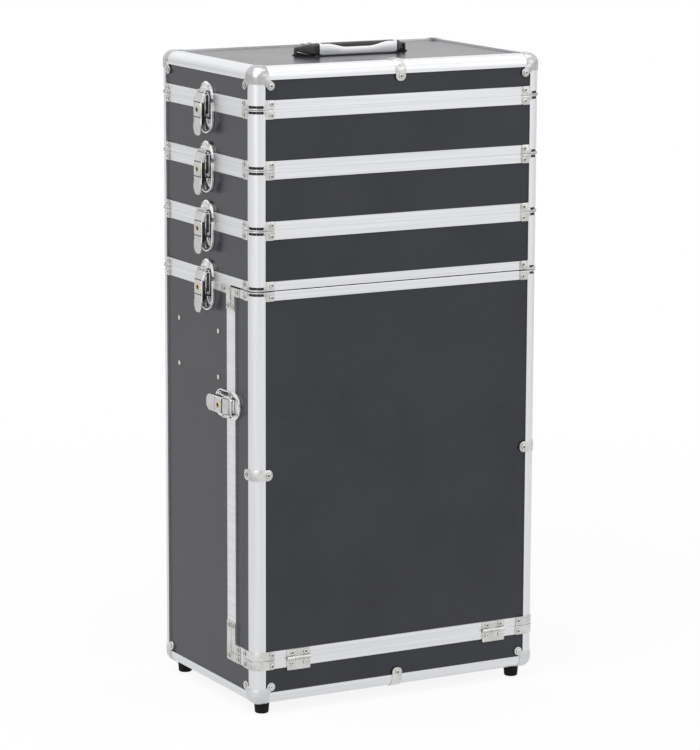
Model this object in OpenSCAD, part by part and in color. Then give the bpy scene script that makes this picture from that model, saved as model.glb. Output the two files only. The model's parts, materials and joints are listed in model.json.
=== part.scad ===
// Makeup train case: a front-door cabinet on four feet, three lift-off trays and a lid.
// Units are millimetres. The origin is on the floor under the middle of the case,
// +X runs along the door face, -Y is the door side and +Z is up.

/* [Case] */
// Width across the door face
case_w = 370; // [340:1:400]
// Depth from the door face to the back
case_d = 235; // [220:1:260]
// Height of the cabinet from its bottom edge to its top seam
cabinet_h = 475.5; // [460:0.5:500]
// Height of the fixed tub under the door
tub_h = 51.9; // [48:0.1:58]
// Depth of the door's side returns behind the door face
door_depth = 56.5; // [52:0.5:62]
// Height of each lift-off tray
tray_h = 67.2; // [64:0.1:80]
// Height of the lid
lid_h = 47.2; // [44:0.1:60]

/* [Panels and profiles] */
// Thickness of the laminated panels
panel_t = 4; // [3.5:0.1:4.5]
// Wall of the aluminium profiles, which stand this far proud of the panels
skin_t = 2; // [1.6:0.1:2.4]
// Reach of the corner profiles along each face
edge_reach = 14.5; // [14:0.1:16]
// Outer radius of the corner profiles
edge_r = 11.5; // [9:0.1:12]
// Height of each rim band beside a seam
rim_h = 10.2; // [9.6:0.1:11]
// Web of the rims across the edge of a panel
web_t = 1.6; // [1.2:0.1:2]
// Inner wall of the rims
inner_t = 1.5; // [1.2:0.1:1.8]
// Height of the locating tongue above a seam
tongue_h = 4; // [3:0.1:4.4]
// Clearance between the tongue and the wall above it
tongue_gap = 0.3; // [0.2:0.05:0.5]
// Bevel along each edge of a seam
seam_bevel = 0.4; // [0.2:0.05:0.6]
// Gap between two lengths of profile that meet end to end
joint_gap = 0.1; // [0.05:0.05:0.2]
// Height of the recess at each end of a corner post
post_recess = 4.6; // [4:0.1:5.5]
// Thickness of a tray floor
floor_t = 3; // [2.5:0.1:4]
// Height of a tray floor above its bottom seam
floor_lift = 5; // [4.6:0.1:6]

/* [Door] */
// Gap between the top of the door and the tray above it
door_gap = 1; // [0.8:0.1:1.6]
// Extra clearance along the arc that the top of the door swings through
swing_gap = 0.2; // [0.1:0.05:0.4]
// Distance of the hinge pins in front of the door face
hinge_proud = 1.2; // [1.2:0.1:1.6]
// Radius of the hinge knuckles
knuckle_r = 2.2; // [2:0.1:2.4]
// Radius of the hinge pins
hinge_pin_r = 1; // [0.9:0.05:1.1]
// Running clearance of every pin in its bore
pin_gap = 0.05; // [0.03:0.01:0.08]
// Width of a hinge
hinge_w = 30; // [26:1:34]
// Distance of a hinge's middle from the side of the case
hinge_inset = 56; // [53:1:75]
// Height of the hinge leaf on the door
hinge_leaf_up = 10; // [9:0.5:12]
// Height of the hinge leaf on the tub
hinge_leaf_down = 14; // [12:0.5:16]

/* [Fittings] */
// Thickness of brackets, tabs and leaves
plate_t = 1; // [0.8:0.1:1.1]
// Reach of the corner brackets from the corner
bracket_reach = 25.5; // [24:0.5:32]
// Height of the corner bracket wings
bracket_h = 10.6; // [9:0.1:12]
// Metal left between a rivet and the end of a bracket
bracket_land = 0.8; // [0.6:0.1:2]
// Height of the bead that runs round a corner at each seam
bead_h = 1.6; // [1.2:0.1:2]
// Radius of the rivet heads
rivet_r = 2.9; // [2.4:0.1:3.2]
// Height of the rivet heads
rivet_h = 1.1; // [0.8:0.1:1.4]
// Thickness of the corner caps over the profiles
cap_t = 0.8; // [0.6:0.1:1]
// Reach of the corner caps along each edge
cap_reach = 19; // [18:0.5:22]
// Radius of the riveted tabs
tab_r = 6.3; // [5.8:0.1:6.6]
// Distance of the cap tabs from the two edges beside them
tab_inset = 21.6; // [21.4:0.1:24]
// Width of the straps clipped over the edges
strap_w = 12; // [10:0.5:13]
// Distance of a strap's rivets from the edge it clips over
strap_tab = 16.6; // [16:0.1:21]
// Reach of the L brackets at the top of the upright door seams
ell_drop = 28; // [24:1:34]
// Reach of the L brackets at the foot of the upright door seams
ell_rise = 36; // [30:1:40]
// Reach of the L brackets along the level seams
ell_arm = 22; // [18:1:24]

/* [Feet] */
// Height of the rubber feet
foot_h = 13; // [11:0.5:16]
// Radius of a foot at the case
foot_r = 8.8; // [8:0.1:10]
// Radius of a foot on the floor
foot_floor_r = 7.8; // [7:0.1:8.5]
// Distance of each foot from the two faces beside it
foot_inset = 19; // [17:0.5:24]

/* [Latches] */
// Width of the latch base and strike plates
latch_w = 32; // [30:0.5:34]
// Length of the latch base below the seam
latch_base_l = 37; // [36:0.5:38]
// Thickness of the latch plates
latch_t = 1.2; // [1:0.1:1.3]
// Width of the lever
lever_w = 19; // [18:0.5:19]
// Distance of the lever's outer face from the case
lever_n = 12; // [11.8:0.1:12.4]
// Length of the lever and its finger tab below the seam
lever_l = 38.4; // [37:0.2:40]
// Thickness of the lever and claw sheet
lever_t = 1.4; // [1.2:0.1:1.5]
// Depth of the lever pin below the seam
lever_pin_u = 2.8; // [2.8:0.1:3.2]
// Distance of the lever pin from the case
lever_pin_n = 6; // [6:0.1:6.2]
// Depth of the claw pins below the seam
claw_pin_u = 15; // [15:0.1:16]
// Distance of the claw pins from the case
claw_pin_n = 5; // [5:0.1:5.3]
// Radius of the latch pins
latch_pin_r = 1.5; // [1.3:0.05:1.6]
// Height of the claw's hook above the seam
hook_u = 12.4; // [12:0.1:13]
// Slack between the hook and the rib that it catches
hook_gap = 2.4; // [2.2:0.1:3]
// How far the hook reaches behind the rib
hook_catch = 0.9; // [0.6:0.1:1]
// Length of the strike plate above the seam
strike_l = 22; // [21.5:0.5:24]
// Radius of the lock cylinder
lock_r = 4.2; // [3.8:0.1:4.4]
// Depth of the lock cylinder below the seam
lock_u = 9.5; // [9.5:0.1:10]
// Distance of the side latches in front of the middle of the case
latch_y = 2; // [-10:1:10]
// Depth of the door latch below the top of the cabinet
door_latch_drop = 137; // [128.5:0.5:153.5]

/* [Drawers] */
// Height of the drawer boxes
drawer_h = 45; // [38:1:46]
// Wall of the drawers
drawer_wall = 2.5; // [2:0.1:3]
// Depth of the upper runner below the top of the cabinet
upper_runner_drop = 57.5; // [48.5:0.5:59.5]
// Distance between the two runners
runner_pitch = 53; // [52:1:56]
// Reach of the runners from the side panels
runner_w = 9; // [8:0.5:11]
// Thickness of the runners
runner_t = 5; // [4:0.5:6]
// Thickness of the lips that the drawers hang on
lip_t = 3; // [2.5:0.1:3.5]
// Sliding clearance of the drawers
slide_gap = 0.3; // [0.2:0.05:0.5]
// Distance between the two rivets of a runner
runner_rivet_pitch = 100; // [90:1:110]

/* [Handle] */
// Length of the grip
grip_l = 98; // [88:1:100]
// Height of the grip as it lies on the lid
grip_h = 14.4; // [13:0.2:16]
// Thickness of the grip's core
grip_t = 11; // [9:0.5:13]
// Distance from the pivot line to the middle of the grip
grip_drop = 13; // [12:0.5:20]
// Length of the whole handle between its lugs
handle_l = 138.6; // [132:0.2:146]
// Radius of the handle's ends
handle_tip_r = 4; // [3.6:0.1:4.6]
// Radius of the handle pins
handle_pin_r = 1.8; // [1.5:0.1:2]
// Thickness of the lugs
lug_t = 3.6; // [3:0.1:4.5]

/* [Hidden] */

$fn = 48;
eps = 0.01;             // lets cutting tools run past a face

// Heights of the seams, from the floor up
base_z = foot_h;
tub_z = base_z + tub_h;
cabinet_z = base_z + cabinet_h;
function seam_z(n) = cabinet_z + (4 - n) * tray_h;   // seam 4 is the cabinet's, seam 1 the lid's
top_z = seam_z(1) + lid_h;

// Distances inwards from the outer face
panel_in = skin_t + panel_t;
panel_end = panel_in + 1;     // where a panel ends inside a corner profile

// The door and its hinge line
door_seam_y = -case_d / 2 + door_depth;
door_top_z = cabinet_z - door_gap;
hinge_x = case_w / 2 - hinge_inset;
hinge_y = -case_d / 2 - hinge_proud;
swing_r = cabinet_z - tub_z - swing_gap;

aluminium = [0.82, 0.83, 0.85];
laminate = [0.17, 0.17, 0.18];
nickel = [0.72, 0.71, 0.68];
chrome_look = [0.78, 0.78, 0.8];
rubber = [0.08, 0.08, 0.08];
drawer_grey = [0.2, 0.2, 0.21];

// ---------- Placing ----------

// Face 0 is the front, 1 the right, 2 the back and 3 the left.
// Inside, +x runs along the face, +y runs inwards from it and +z is up.
function face_half(i) = i % 2 == 0 ? case_d / 2 : case_w / 2;
function face_len(i) = i % 2 == 0 ? case_w : case_d;

module on_face(i) {
    rotate([0, 0, 90 * i]) translate([0, -face_half(i), 0]) children();
}

module both_sides() {
    children();
    mirror([1, 0, 0]) children();
}

module four_corners() {
    for (sx = [0, 1], sy = [0, 1])
        mirror([sx, 0, 0]) mirror([0, sy, 0]) children();
}

// The front left corner: +x and +y run inwards from the two faces
module at_corner() {
    translate([-case_w / 2, -case_d / 2, 0]) children();
}

// A bar along +x whose section's x runs inwards and y runs up
module bar(x0, x1) {
    translate([(x0 + x1) / 2, 0, 0]) rotate([90, 0, 90])
        linear_extrude(height = x1 - x0, center = true) children();
}

// ---------- Sections ----------

// A square with its outer corner rounded, from -grow to reach on both faces
module rounded_square(reach, grow = 0) {
    r = edge_r + grow;
    translate([-grow, -grow]) difference() {
        square(reach + grow);
        difference() {
            square(r);
            translate([r, r]) circle(r, $fn = 96);
        }
    }
}

// The corner profile, with a slot for each of the two panels it holds
module profile_section() {
    difference() {
        rounded_square(edge_reach);
        translate([panel_end, skin_t]) square([edge_reach, panel_t]);
        translate([skin_t, panel_end]) square([panel_t, edge_reach]);
    }
}

// The part of the corner profile that lies inside the panels
module core_section() {
    translate([panel_in, panel_in]) square(edge_reach - panel_in);
}

// A rim band: side is 1 where the band stands above its seam, -1 below it
module rim_section(side, inner_wall) {
    wall_in = panel_in + inner_t;
    wall = inner_wall ? [[panel_in, rim_h], [wall_in, rim_h], [wall_in, 0]] : [[panel_in, 0]];
    skin = [[seam_bevel, 0], [0, seam_bevel], [0, rim_h], [skin_t, rim_h]];
    band = concat(skin, [[skin_t, web_t], [panel_in, web_t]]);
    polygon([for (p = concat(band, wall)) [p[0], side * p[1]]]);
}

module tongue_section() {
    translate([panel_in + tongue_gap, -web_t]) square([inner_t - tongue_gap, tongue_h + web_t]);
}

// ---------- Small pieces ----------

// A domed rivet head that stands on the face y = -out of on_face
module rivet_head(x, z, out, r = rivet_r) {
    dome_r = (r * r + rivet_h * rivet_h) / (2 * rivet_h);
    translate([x, -out, z]) rotate([90, 0, 0]) intersection() {
        translate([0, 0, rivet_h - dome_r]) sphere(dome_r);
        cylinder(r = r + 1, h = rivet_h + 1);
    }
}

// A flat plate on a face, from the panel to the outside of a bracket
module face_plate(x0, x1, z0, z1, in = 0, out = plate_t) {
    translate([x0, -out, z0]) cube([x1 - x0, in + out, z1 - z0]);
}

// A round riveted tab on a panel
module round_tab(x, z) {
    translate([x, skin_t, z]) rotate([90, 0, 0]) cylinder(r = tab_r, h = skin_t + plate_t);
}

// A strip that runs round a corner on the outside of the profiles
module corner_ring(reach) {
    difference() {
        rounded_square(reach, plate_t);
        rounded_square(reach + 1);
    }
}

// ---------- Boxes ----------

// Walls of a tray or of the lid: four separate panels
module wall_panels(z0, z1) {
    for (i = [0:3])
        on_face(i) bar(-face_len(i) / 2 + panel_end, face_len(i) / 2 - panel_end)
            translate([skin_t, z0]) square([panel_t, z1 - z0]);
}

// Corner posts, with the outer skin cut back beside each open seam
module post(z0, z1, recess_low, recess_high) {
    skin_h = z1 - z0 - recess_low - recess_high;
    at_corner() {
        translate([0, 0, z0 + recess_low]) linear_extrude(height = skin_h) profile_section();
        translate([0, 0, z0]) linear_extrude(height = z1 - z0) core_section();
    }
}

// Four rim bars round a seam
module rim_ring(z, side, tongue) {
    for (i = [0:3]) on_face(i) translate([0, 0, z]) {
        reach = bar_reach(i);
        bar(-reach, reach) rim_section(side, tongue);
        if (tongue) bar(-reach + slot_play, reach - slot_play) tongue_section();
    }
}
slot_play = 0.5;        // end clearance of the tongues beside the corner posts

// Half the length of a bar that runs between two corner posts
function bar_reach(i) = face_len(i) / 2 - edge_reach - joint_gap;

// A quarter-round edge profile along the top or bottom of the case
module edge_ring(z, side) {
    for (i = [0:3]) on_face(i) translate([0, 0, z])
        bar(-bar_reach(i), bar_reach(i)) scale([1, side]) profile_section();
}

// Flat board that fits between the wall panels and round the corner posts
module board(z, t) {
    difference() {
        translate([0, 0, z + t / 2]) cube([case_w - 2 * panel_in, case_d - 2 * panel_in, t], center = true);
        four_corners() at_corner() translate([0, 0, z - 1]) cube([edge_reach, edge_reach, t + 2]);
    }
}

// ---------- Corner brackets and caps ----------

// Bracket beside a seam: side is 1 above the seam and -1 below it
module corner_bracket(z, side, wrapped = false) {
    at_corner() translate([0, 0, z]) scale([1, 1, side]) {
        linear_extrude(height = wrapped ? bracket_h : bead_h) corner_ring(bracket_reach);
        linear_extrude(height = bracket_h) difference() {
            corner_ring(bracket_reach);
            translate([-plate_t, -plate_t]) square(edge_reach + plate_t);
        }
    }
    rivet_x = bracket_reach - rivet_r - bracket_land;
    rivet_z = z + side * bracket_h * 0.6;
    for (i = [0, 3]) {
        to_corner = i == 0 ? -1 : 1;
        on_face(i) rivet_head(to_corner * (face_len(i) / 2 - rivet_x), rivet_z, plate_t);
    }
}

module bracket_set(z, side) {
    four_corners() corner_bracket(z, side);
}

// Block at a corner of the case: a ball between three rounded edges, grown outwards by grow
module ball_block(reach, grow) {
    r = edge_r + grow;
    stub = reach - edge_r;
    translate([edge_r, edge_r, edge_r]) {
        intersection() {
            sphere(r, $fn = 96);
            translate([-r, -r, -r]) cube(r);
        }
        for (turn = [[0, 0, 0], [90, 0, 90], [0, -90, -90]]) rotate(turn) {
            intersection() {
                cylinder(r = r, h = stub, $fn = 96);
                translate([-r, -r, 0]) cube([r, r, stub]);
            }
            translate([0, 0, -r]) cube([stub, stub, r]);
        }
        cube(stub);
    }
}

// Thin sleeve that carries on from a cap over one profile
module cap_sleeve() {
    translate([0, 0, edge_reach]) linear_extrude(height = cap_reach - edge_reach) difference() {
        rounded_square(edge_reach, cap_t);
        rounded_square(edge_reach + 1);
    }
}

// Cap over a corner of the case, with a riveted tab on each of its two side faces
module corner_cap() {
    neck_w = tab_r * 1.3;
    difference() {
        ball_block(edge_reach, cap_t);
        for (turn = [[0, 0, 0], [90, 0, 90], [0, -90, -90]])
            rotate(turn) translate([panel_end, panel_end, skin_t]) cube(edge_reach);
    }
    for (turn = [[0, 0, 0], [90, 0, 90], [0, -90, -90]]) rotate(turn) cap_sleeve();
    for (flip = [0, 1]) mirror([flip, -flip, 0]) {
        round_tab(tab_inset, tab_inset);
        translate([edge_r, -plate_t, edge_r]) rotate([0, -45, 0])
            translate([0, 0, -neck_w / 2]) cube([(tab_inset - edge_r) * sqrt(2), plate_t, neck_w]);
        rivet_head(tab_inset, tab_inset, plate_t);
    }
}

module cap_set(z, side) {
    four_corners() at_corner() translate([0, 0, z]) scale([1, 1, side]) corner_cap();
}

// Strap over an edge profile: a quarter ring with a riveted tab on each side
module edge_strap() {
    translate([0, 0, -strap_w / 2]) linear_extrude(height = strap_w) corner_ring(edge_reach);
    for (flip = [0, 1]) mirror([flip, -flip, 0]) {
        translate([strap_tab, 0, 0]) rotate([90, 0, 0]) cylinder(r = tab_r, h = plate_t);
        difference() {
            round_tab(strap_tab, 0);
            translate([0, -plate_t - 1, -tab_r - 1]) cube([edge_reach, skin_t + plate_t + 2, 2 * tab_r + 2]);
        }
        face_plate(edge_reach - eps, strap_tab, -strap_w / 2, strap_w / 2);
        rivet_head(strap_tab, 0, plate_t);
    }
}

// Strap in the middle of a horizontal edge, front and back
module edge_straps(z, side) {
    for (i = [0, 2]) on_face(i) translate([0, 0, z]) scale([1, 1, -side])
        rotate([0, 90, 0]) rotate([0, 0, 90]) mirror([1, -1, 0]) edge_strap();
}

// L bracket on a side face: the corner is at (x, z), arms run along dx and dz
module ell_bracket(x, z, dx, dz, arm_x, arm_z) {
    w = rim_h - seam_bevel;
    translate([x, 0, z]) scale([dx, 1, dz]) {
        face_plate(seam_bevel, arm_x, seam_bevel, w);
        face_plate(seam_bevel, w, seam_bevel, arm_z);
    }
    on_arm = w / 2;
    rivet_head(x + dx * (arm_x - on_arm), z + dz * on_arm, plate_t);
    rivet_head(x + dx * on_arm, z + dz * (arm_z - on_arm), plate_t);
}

// The larger L bracket that goes round the outside of the tub's corner
module outer_ell_bracket(x, z, arm_x, arm_z) {
    face_plate(x - rim_h, x - seam_bevel, z - rim_h, z + arm_z);
    face_plate(x - rim_h, x + arm_x, z - rim_h, z - seam_bevel);
    mid = rim_h / 2;
    rivet_head(x - mid, z + arm_z - mid, plate_t);
    rivet_head(x - mid, z - mid, plate_t);
    rivet_head(x + arm_x - mid, z - mid, plate_t);
}

// ---------- Latches ----------
// Inside a latch, +x is sideways, +y points from the base over the seam and +z points away from the case.

claw_in = lever_w / 2 + 0.5;          // inner side of the claw's arms
claw_out = claw_in + 2.5;
ear_out = lever_w / 2 - lever_t - 0.3;  // outer side of the base's ears, inside the lever
ear_t = 1.5;
ear_r = 3;
hook_n = latch_t + 1;                 // how near the hook comes to the case
rib_u = hook_u - hook_gap;            // top of the strike's rib, below the hook
rib_n = hook_n + hook_catch;
rib_w = 16;
rib_l = 3;
door_rib_n = hook_n - slide_gap;      // the door swings out from under its hooks
cheek_u = claw_pin_u + 4;             // the base's cheeks begin below the claw's arms
cheek_l = 12;
cheek_n = 7;
latch_start = 1;                      // the base keeps this far below the seam
strike_start = rim_h * 0.3;           // the strike keeps this far above it
screw_h = 0.8;
screw_r = 2.4;
lever_start = 0.5;
seat_n = latch_t + joint_gap;         // where the saddle and the cheeks stand on the base plate
door_latch_z = cabinet_z - door_latch_drop;

module side_latch(n) {
    on_face(3) translate([latch_y, 0, seam_z(n)]) rotate([90, 0, 0]) children();
}

module door_latch() {
    on_face(3) translate([-door_seam_y, 0, door_latch_z]) rotate([90, 0, 0]) rotate([0, 0, -90]) children();
}

module right_side_latch(n) {
    mirror([1, 0, 0]) side_latch(n) children();
}

module right_door_latch() {
    mirror([1, 0, 0]) door_latch() children();
}

// A plate with one round end, from y = start to y = l, standing from z0 to z1
module round_plate(w, start, l, z0, z1) {
    translate([0, 0, z0]) linear_extrude(height = z1 - z0) {
        translate([-w / 2, start]) square([w, l - start - w / 2]);
        intersection() {
            translate([0, l - w / 2]) circle(w / 2);
            translate([-w / 2, start]) square([w, l]);
        }
    }
}

module latch_screw(x, y) {
    translate([x, y, latch_t]) cylinder(r = screw_r, h = screw_h);
}

// A latch plate that lies over the rim, with a step that reaches down to the panel beyond it
module stepped_plate(start, l) {
    round_plate(latch_w, start, l, 0, latch_t);
    difference() {
        round_plate(latch_w, start, l, -skin_t, 0);
        translate([-latch_w, 0, -skin_t - 1]) cube([2 * latch_w, rim_h, skin_t + 2]);
    }
}

// The saddle that carries the lever: two ears on a web
module latch_saddle() {
    saddle_l = lever_pin_u + ear_r - latch_start;
    translate([-ear_out, latch_start, seat_n]) cube([2 * ear_out, saddle_l, ear_t]);
    for (s = [-1, 1]) translate([s > 0 ? ear_out - ear_t : -ear_out, 0, 0]) difference() {
        union() {
            translate([0, lever_pin_u, lever_pin_n]) rotate([0, 90, 0]) cylinder(r = ear_r, h = ear_t);
            translate([0, latch_start, seat_n]) cube([ear_t, saddle_l, lever_pin_n - seat_n]);
        }
        translate([-1, lever_pin_u, lever_pin_n]) rotate([0, 90, 0])
            cylinder(r = latch_pin_r + pin_gap, h = ear_t + 2);
    }
}

module latch_base() {
    mirror([0, 1, 0]) {
        stepped_plate(latch_start, latch_base_l);
        latch_screw(0, latch_base_l - 6);
        latch_saddle();
        for (s = [-1, 1]) translate([s > 0 ? claw_in : -claw_out, cheek_u, seat_n])
            cube([claw_out - claw_in, cheek_l, cheek_n - seat_n]);
    }
}

module latch_strike(rib_top = rib_n) {
    stepped_plate(strike_start, strike_l);
    translate([-rib_w / 2, rib_u - rib_l, 0]) cube([rib_w, rib_l, rib_top]);
    for (s = [-1, 1]) latch_screw(s * 7.5, strike_l - 5.5);
}

module latch_lever() {
    flange_n = lever_pin_n - ear_r;
    flange_l = claw_pin_u + 11;
    plug_n = lever_pin_n + latch_pin_r + 0.2;
    mirror([0, 1, 0]) {
        difference() {
            union() {
                round_plate(lever_w, lever_start, lever_l, lever_n - lever_t, lever_n);
                for (s = [-1, 1])
                    translate([s > 0 ? lever_w / 2 - lever_t : -lever_w / 2, lever_start, flange_n])
                        cube([lever_t, flange_l, lever_n - flange_n - lever_t / 2]);
            }
            translate([0, lock_u, 0]) cylinder(r = lock_r + pin_gap, h = lever_n + 1);
        }
        translate([-lever_w / 2, lever_pin_u, lever_pin_n]) rotate([0, 90, 0])
            cylinder(r = latch_pin_r, h = lever_w);
        for (s = [-1, 1]) translate([s > 0 ? lever_w / 2 - lever_t : -claw_out, claw_pin_u, claw_pin_n])
            rotate([0, 90, 0]) cylinder(r = latch_pin_r, h = claw_out - lever_w / 2 + lever_t);
        translate([0, lock_u, plug_n]) cylinder(r = lock_r, h = lever_n + 0.2 - plug_n);
    }
}

module latch_claw() {
    arm_r = 3.2;
    arm_n = claw_pin_n - arm_r + 0.7;     // the arms are flattened above the case
    arm_h = 2 * arm_r - 0.7;
    head_u = 1;
    head_n = lever_n - 1;
    arm_w = claw_out - claw_in;
    difference() {
        union() {
            for (s = [-1, 1]) translate([s > 0 ? claw_in : -claw_out, 0, 0]) {
                translate([0, -claw_pin_u, claw_pin_n]) rotate([0, 90, 0]) cylinder(r = arm_r, h = arm_w);
                translate([0, -claw_pin_u, arm_n]) cube([arm_w, claw_pin_u + hook_u, arm_h]);
                translate([0, head_u, arm_n]) cube([arm_w, hook_u - head_u, head_n - arm_n]);
            }
            translate([-claw_out, head_u, head_n - lever_t])
                cube([2 * claw_out, hook_u - head_u + lever_t, lever_t]);
            translate([-claw_out, hook_u, hook_n]) cube([2 * claw_out, lever_t, head_n - hook_n]);
        }
        translate([-latch_w, -claw_pin_u, claw_pin_n]) rotate([0, 90, 0])
            cylinder(r = latch_pin_r + pin_gap, h = 2 * latch_w);
    }
}

// ---------- Cabinet ----------

module cabinet_side_panels() {
    // One board: full depth beside the tub, cut back behind the door above it
    outline = [
        [case_d / 2 - panel_end, base_z + panel_end],
        [case_d / 2 - panel_end, cabinet_z - web_t],
        [door_seam_y + web_t, cabinet_z - web_t],
        [door_seam_y + web_t, tub_z - web_t],
        [-case_d / 2 + panel_end, tub_z - web_t],
        [-case_d / 2 + panel_end, base_z + panel_end]
    ];
    color(laminate) both_sides() translate([-case_w / 2 + skin_t, 0, 0]) rotate([90, 0, 90])
        linear_extrude(height = panel_t) polygon(outline);
}

module cabinet_back_panel() {
    color(laminate) on_face(2) bar(-case_w / 2 + panel_end, case_w / 2 - panel_end)
        translate([skin_t, base_z + panel_end]) square([panel_t, cabinet_h - panel_end - web_t]);
}

module cabinet_floor_panel() {
    color(laminate) translate([0, 0, base_z + skin_t + panel_t / 2])
        cube([case_w - 2 * panel_end, case_d - 2 * panel_end, panel_t], center = true);
}

module cabinet_front_strip() {
    color(laminate) on_face(0) bar(-case_w / 2 + panel_end, case_w / 2 - panel_end)
        translate([skin_t, base_z + panel_end]) square([panel_t, tub_h - panel_end - web_t]);
}

module cabinet_posts() {
    color(aluminium) both_sides() {
        post(base_z + edge_reach, tub_z, 0, 0);
        mirror([0, 1, 0]) post(base_z + edge_reach, cabinet_z, 0, post_recess);
    }
}

module cabinet_bottom_edges() {
    color(aluminium) edge_ring(base_z, 1);
}

// The reliefs in the rims that the hinge knuckles turn in
module knuckle_reliefs() {
    for (s = [-1, 1]) translate([s * hinge_x, hinge_y, tub_z]) rotate([0, 90, 0])
        cylinder(r = knuckle_r + slide_gap, h = hinge_w + 2 * slot_play, center = true);
}

module cabinet_rims() {
    seam_x = -door_seam_y;
    upright_h = cabinet_h - tub_h - rim_h - 2 * joint_gap;
    color(aluminium) {
        both_sides() on_face(3) {
            translate([0, 0, cabinet_z]) bar(-bar_reach(3), seam_x) rim_section(-1, true);
            translate([0, 0, cabinet_z]) bar(-bar_reach(3) + slot_play, seam_x) tongue_section();
            translate([seam_x, 0, tub_z + joint_gap]) linear_extrude(height = upright_h)
                rotate(90) rim_section(1, true);
            face_plate(seam_x - rim_h, seam_x, tub_z - rim_h, tub_z, skin_t, 0);
            translate([0, 0, tub_z]) bar(seam_x, bar_reach(3)) rim_section(-1, true);
        }
        on_face(2) translate([0, 0, cabinet_z]) {
            bar(-bar_reach(2), bar_reach(2)) rim_section(-1, true);
            bar(-bar_reach(2) + slot_play, bar_reach(2) - slot_play) tongue_section();
        }
        difference() {
            on_face(0) translate([0, 0, tub_z]) bar(-bar_reach(0), bar_reach(0)) rim_section(-1, true);
            knuckle_reliefs();
        }
    }
}

module cabinet_fittings() {
    seam_x = -door_seam_y;
    color(nickel) {
        both_sides() {
            mirror([0, 1, 0]) corner_bracket(cabinet_z, -1);
            corner_bracket(tub_z, -1, true);
            on_face(3) {
                ell_bracket(seam_x, cabinet_z, -1, -1, ell_arm, ell_drop);
                outer_ell_bracket(seam_x, tub_z, ell_arm, ell_rise);
                for (r = [0, 1], end = [-0.5, 0.5]) {
                    rivet_y = runner_mid_y + end * runner_rivet_pitch;
                    rivet_head(-rivet_y, upper_runner_z - r * runner_pitch, -skin_t);
                }
            }
        }
        edge_straps(base_z, -1);
    }
    color(chrome_look) both_sides() {
        side_latch(4) latch_base();
        door_latch() latch_base();
    }
}
runner_mid_y = 24;       // middle of the runners' rivets behind the middle of the case

module bottom_corner_caps() {
    color(aluminium) cap_set(base_z, 1);
}

module rubber_feet() {
    color(rubber) four_corners() at_corner() translate([foot_inset, foot_inset, 0])
        cylinder(r1 = foot_floor_r, r2 = foot_r, h = foot_h - cap_t);
}

module drawer_runners() {
    low_z = upper_runner_z - runner_t / 2;
    color(nickel) both_sides() for (r = [0, 1])
        translate([-case_w / 2 + panel_in, runner_front_y, low_z - r * runner_pitch])
            cube([runner_w, runner_back_y - runner_front_y, runner_t]);
}
upper_runner_z = cabinet_z - upper_runner_drop;
runner_front_y = door_seam_y + rim_h + 2;
runner_back_y = case_d / 2 - edge_reach - joint_gap;

// Knuckles of one leaf: the lower leaf has the two outer ones, the upper leaf the middle one
module knuckles(x0, x1) {
    translate([x0, hinge_y, tub_z]) rotate([0, 90, 0]) cylinder(r = knuckle_r, h = x1 - x0);
}

module hinge_bore(r) {
    translate([-hinge_w, hinge_y, tub_z]) rotate([0, 90, 0]) cylinder(r = r, h = 2 * hinge_w);
}

third = hinge_w / 3;

module leaf_plate(z0, z1, x0, x1) {
    translate([x0, -case_d / 2 - hinge_proud, z0]) cube([x1 - x0, hinge_proud, z1 - z0]);
}

module hinge_lower_leaves() {
    leaf_top_z = tub_z - knuckle_r - slide_gap;
    color(nickel) for (s = [-1, 1]) translate([s * hinge_x, 0, 0]) {
        difference() {
            union() {
                leaf_plate(tub_z - hinge_leaf_down, leaf_top_z, -hinge_w / 2, hinge_w / 2);
                for (m = [0, 1]) mirror([m, 0, 0]) {
                    knuckles(third / 2 + slide_gap / 2, hinge_w / 2);
                    leaf_plate(tub_z - knuckle_r - 1, tub_z, third / 2 + slide_gap / 2, hinge_w / 2);
                }
            }
            hinge_bore(hinge_pin_r + pin_gap);
        }
        translate([-hinge_w / 2, hinge_y, tub_z]) rotate([0, 90, 0]) cylinder(r = hinge_pin_r, h = hinge_w);
        for (m = [-1, 1]) on_face(0)
            rivet_head(m * hinge_w * 0.29, tub_z - rim_h * 0.6, hinge_proud, rivet_r * 0.8);
    }
}

module hinge_upper_leaves() {
    tongue = third - slide_gap;
    color(nickel) for (s = [-1, 1]) translate([s * hinge_x, 0, 0]) {
        difference() {
            union() {
                leaf_plate(tub_z + knuckle_r + slide_gap, tub_z + hinge_leaf_up, -hinge_w / 2, hinge_w / 2);
                knuckles(-tongue / 2, tongue / 2);
                leaf_plate(tub_z, tub_z + knuckle_r + 1, -tongue / 2, tongue / 2);
            }
            hinge_bore(hinge_pin_r + pin_gap);
        }
        for (m = [-1, 1]) on_face(0) rivet_head(m * hinge_w * 0.29, tub_z + rim_h * 0.6, hinge_proud);
    }
}

// ---------- Door ----------

// What the door may fill: everything behind the arc that its top swings through
module swing_clear() {
    intersection() {
        children();
        translate([0, hinge_y, tub_z]) rotate([0, 90, 0])
            cylinder(r = swing_r, h = 2 * case_w, center = true, $fn = 360);
    }
}

module door_front_panel() {
    color(laminate) on_face(0) bar(-case_w / 2 + panel_end, case_w / 2 - panel_end)
        translate([skin_t, tub_z + web_t]) square([panel_t, door_top_z - tub_z - 2 * web_t]);
}

module door_side_panels() {
    color(laminate) both_sides() swing_clear() on_face(3)
        bar(-door_seam_y + web_t, case_d / 2 - panel_end)
            translate([skin_t, tub_z + web_t]) square([panel_t, door_top_z - tub_z - 2 * web_t]);
}

module door_posts() {
    color(aluminium) both_sides() post(tub_z, door_top_z, 0, post_recess);
}

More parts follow.
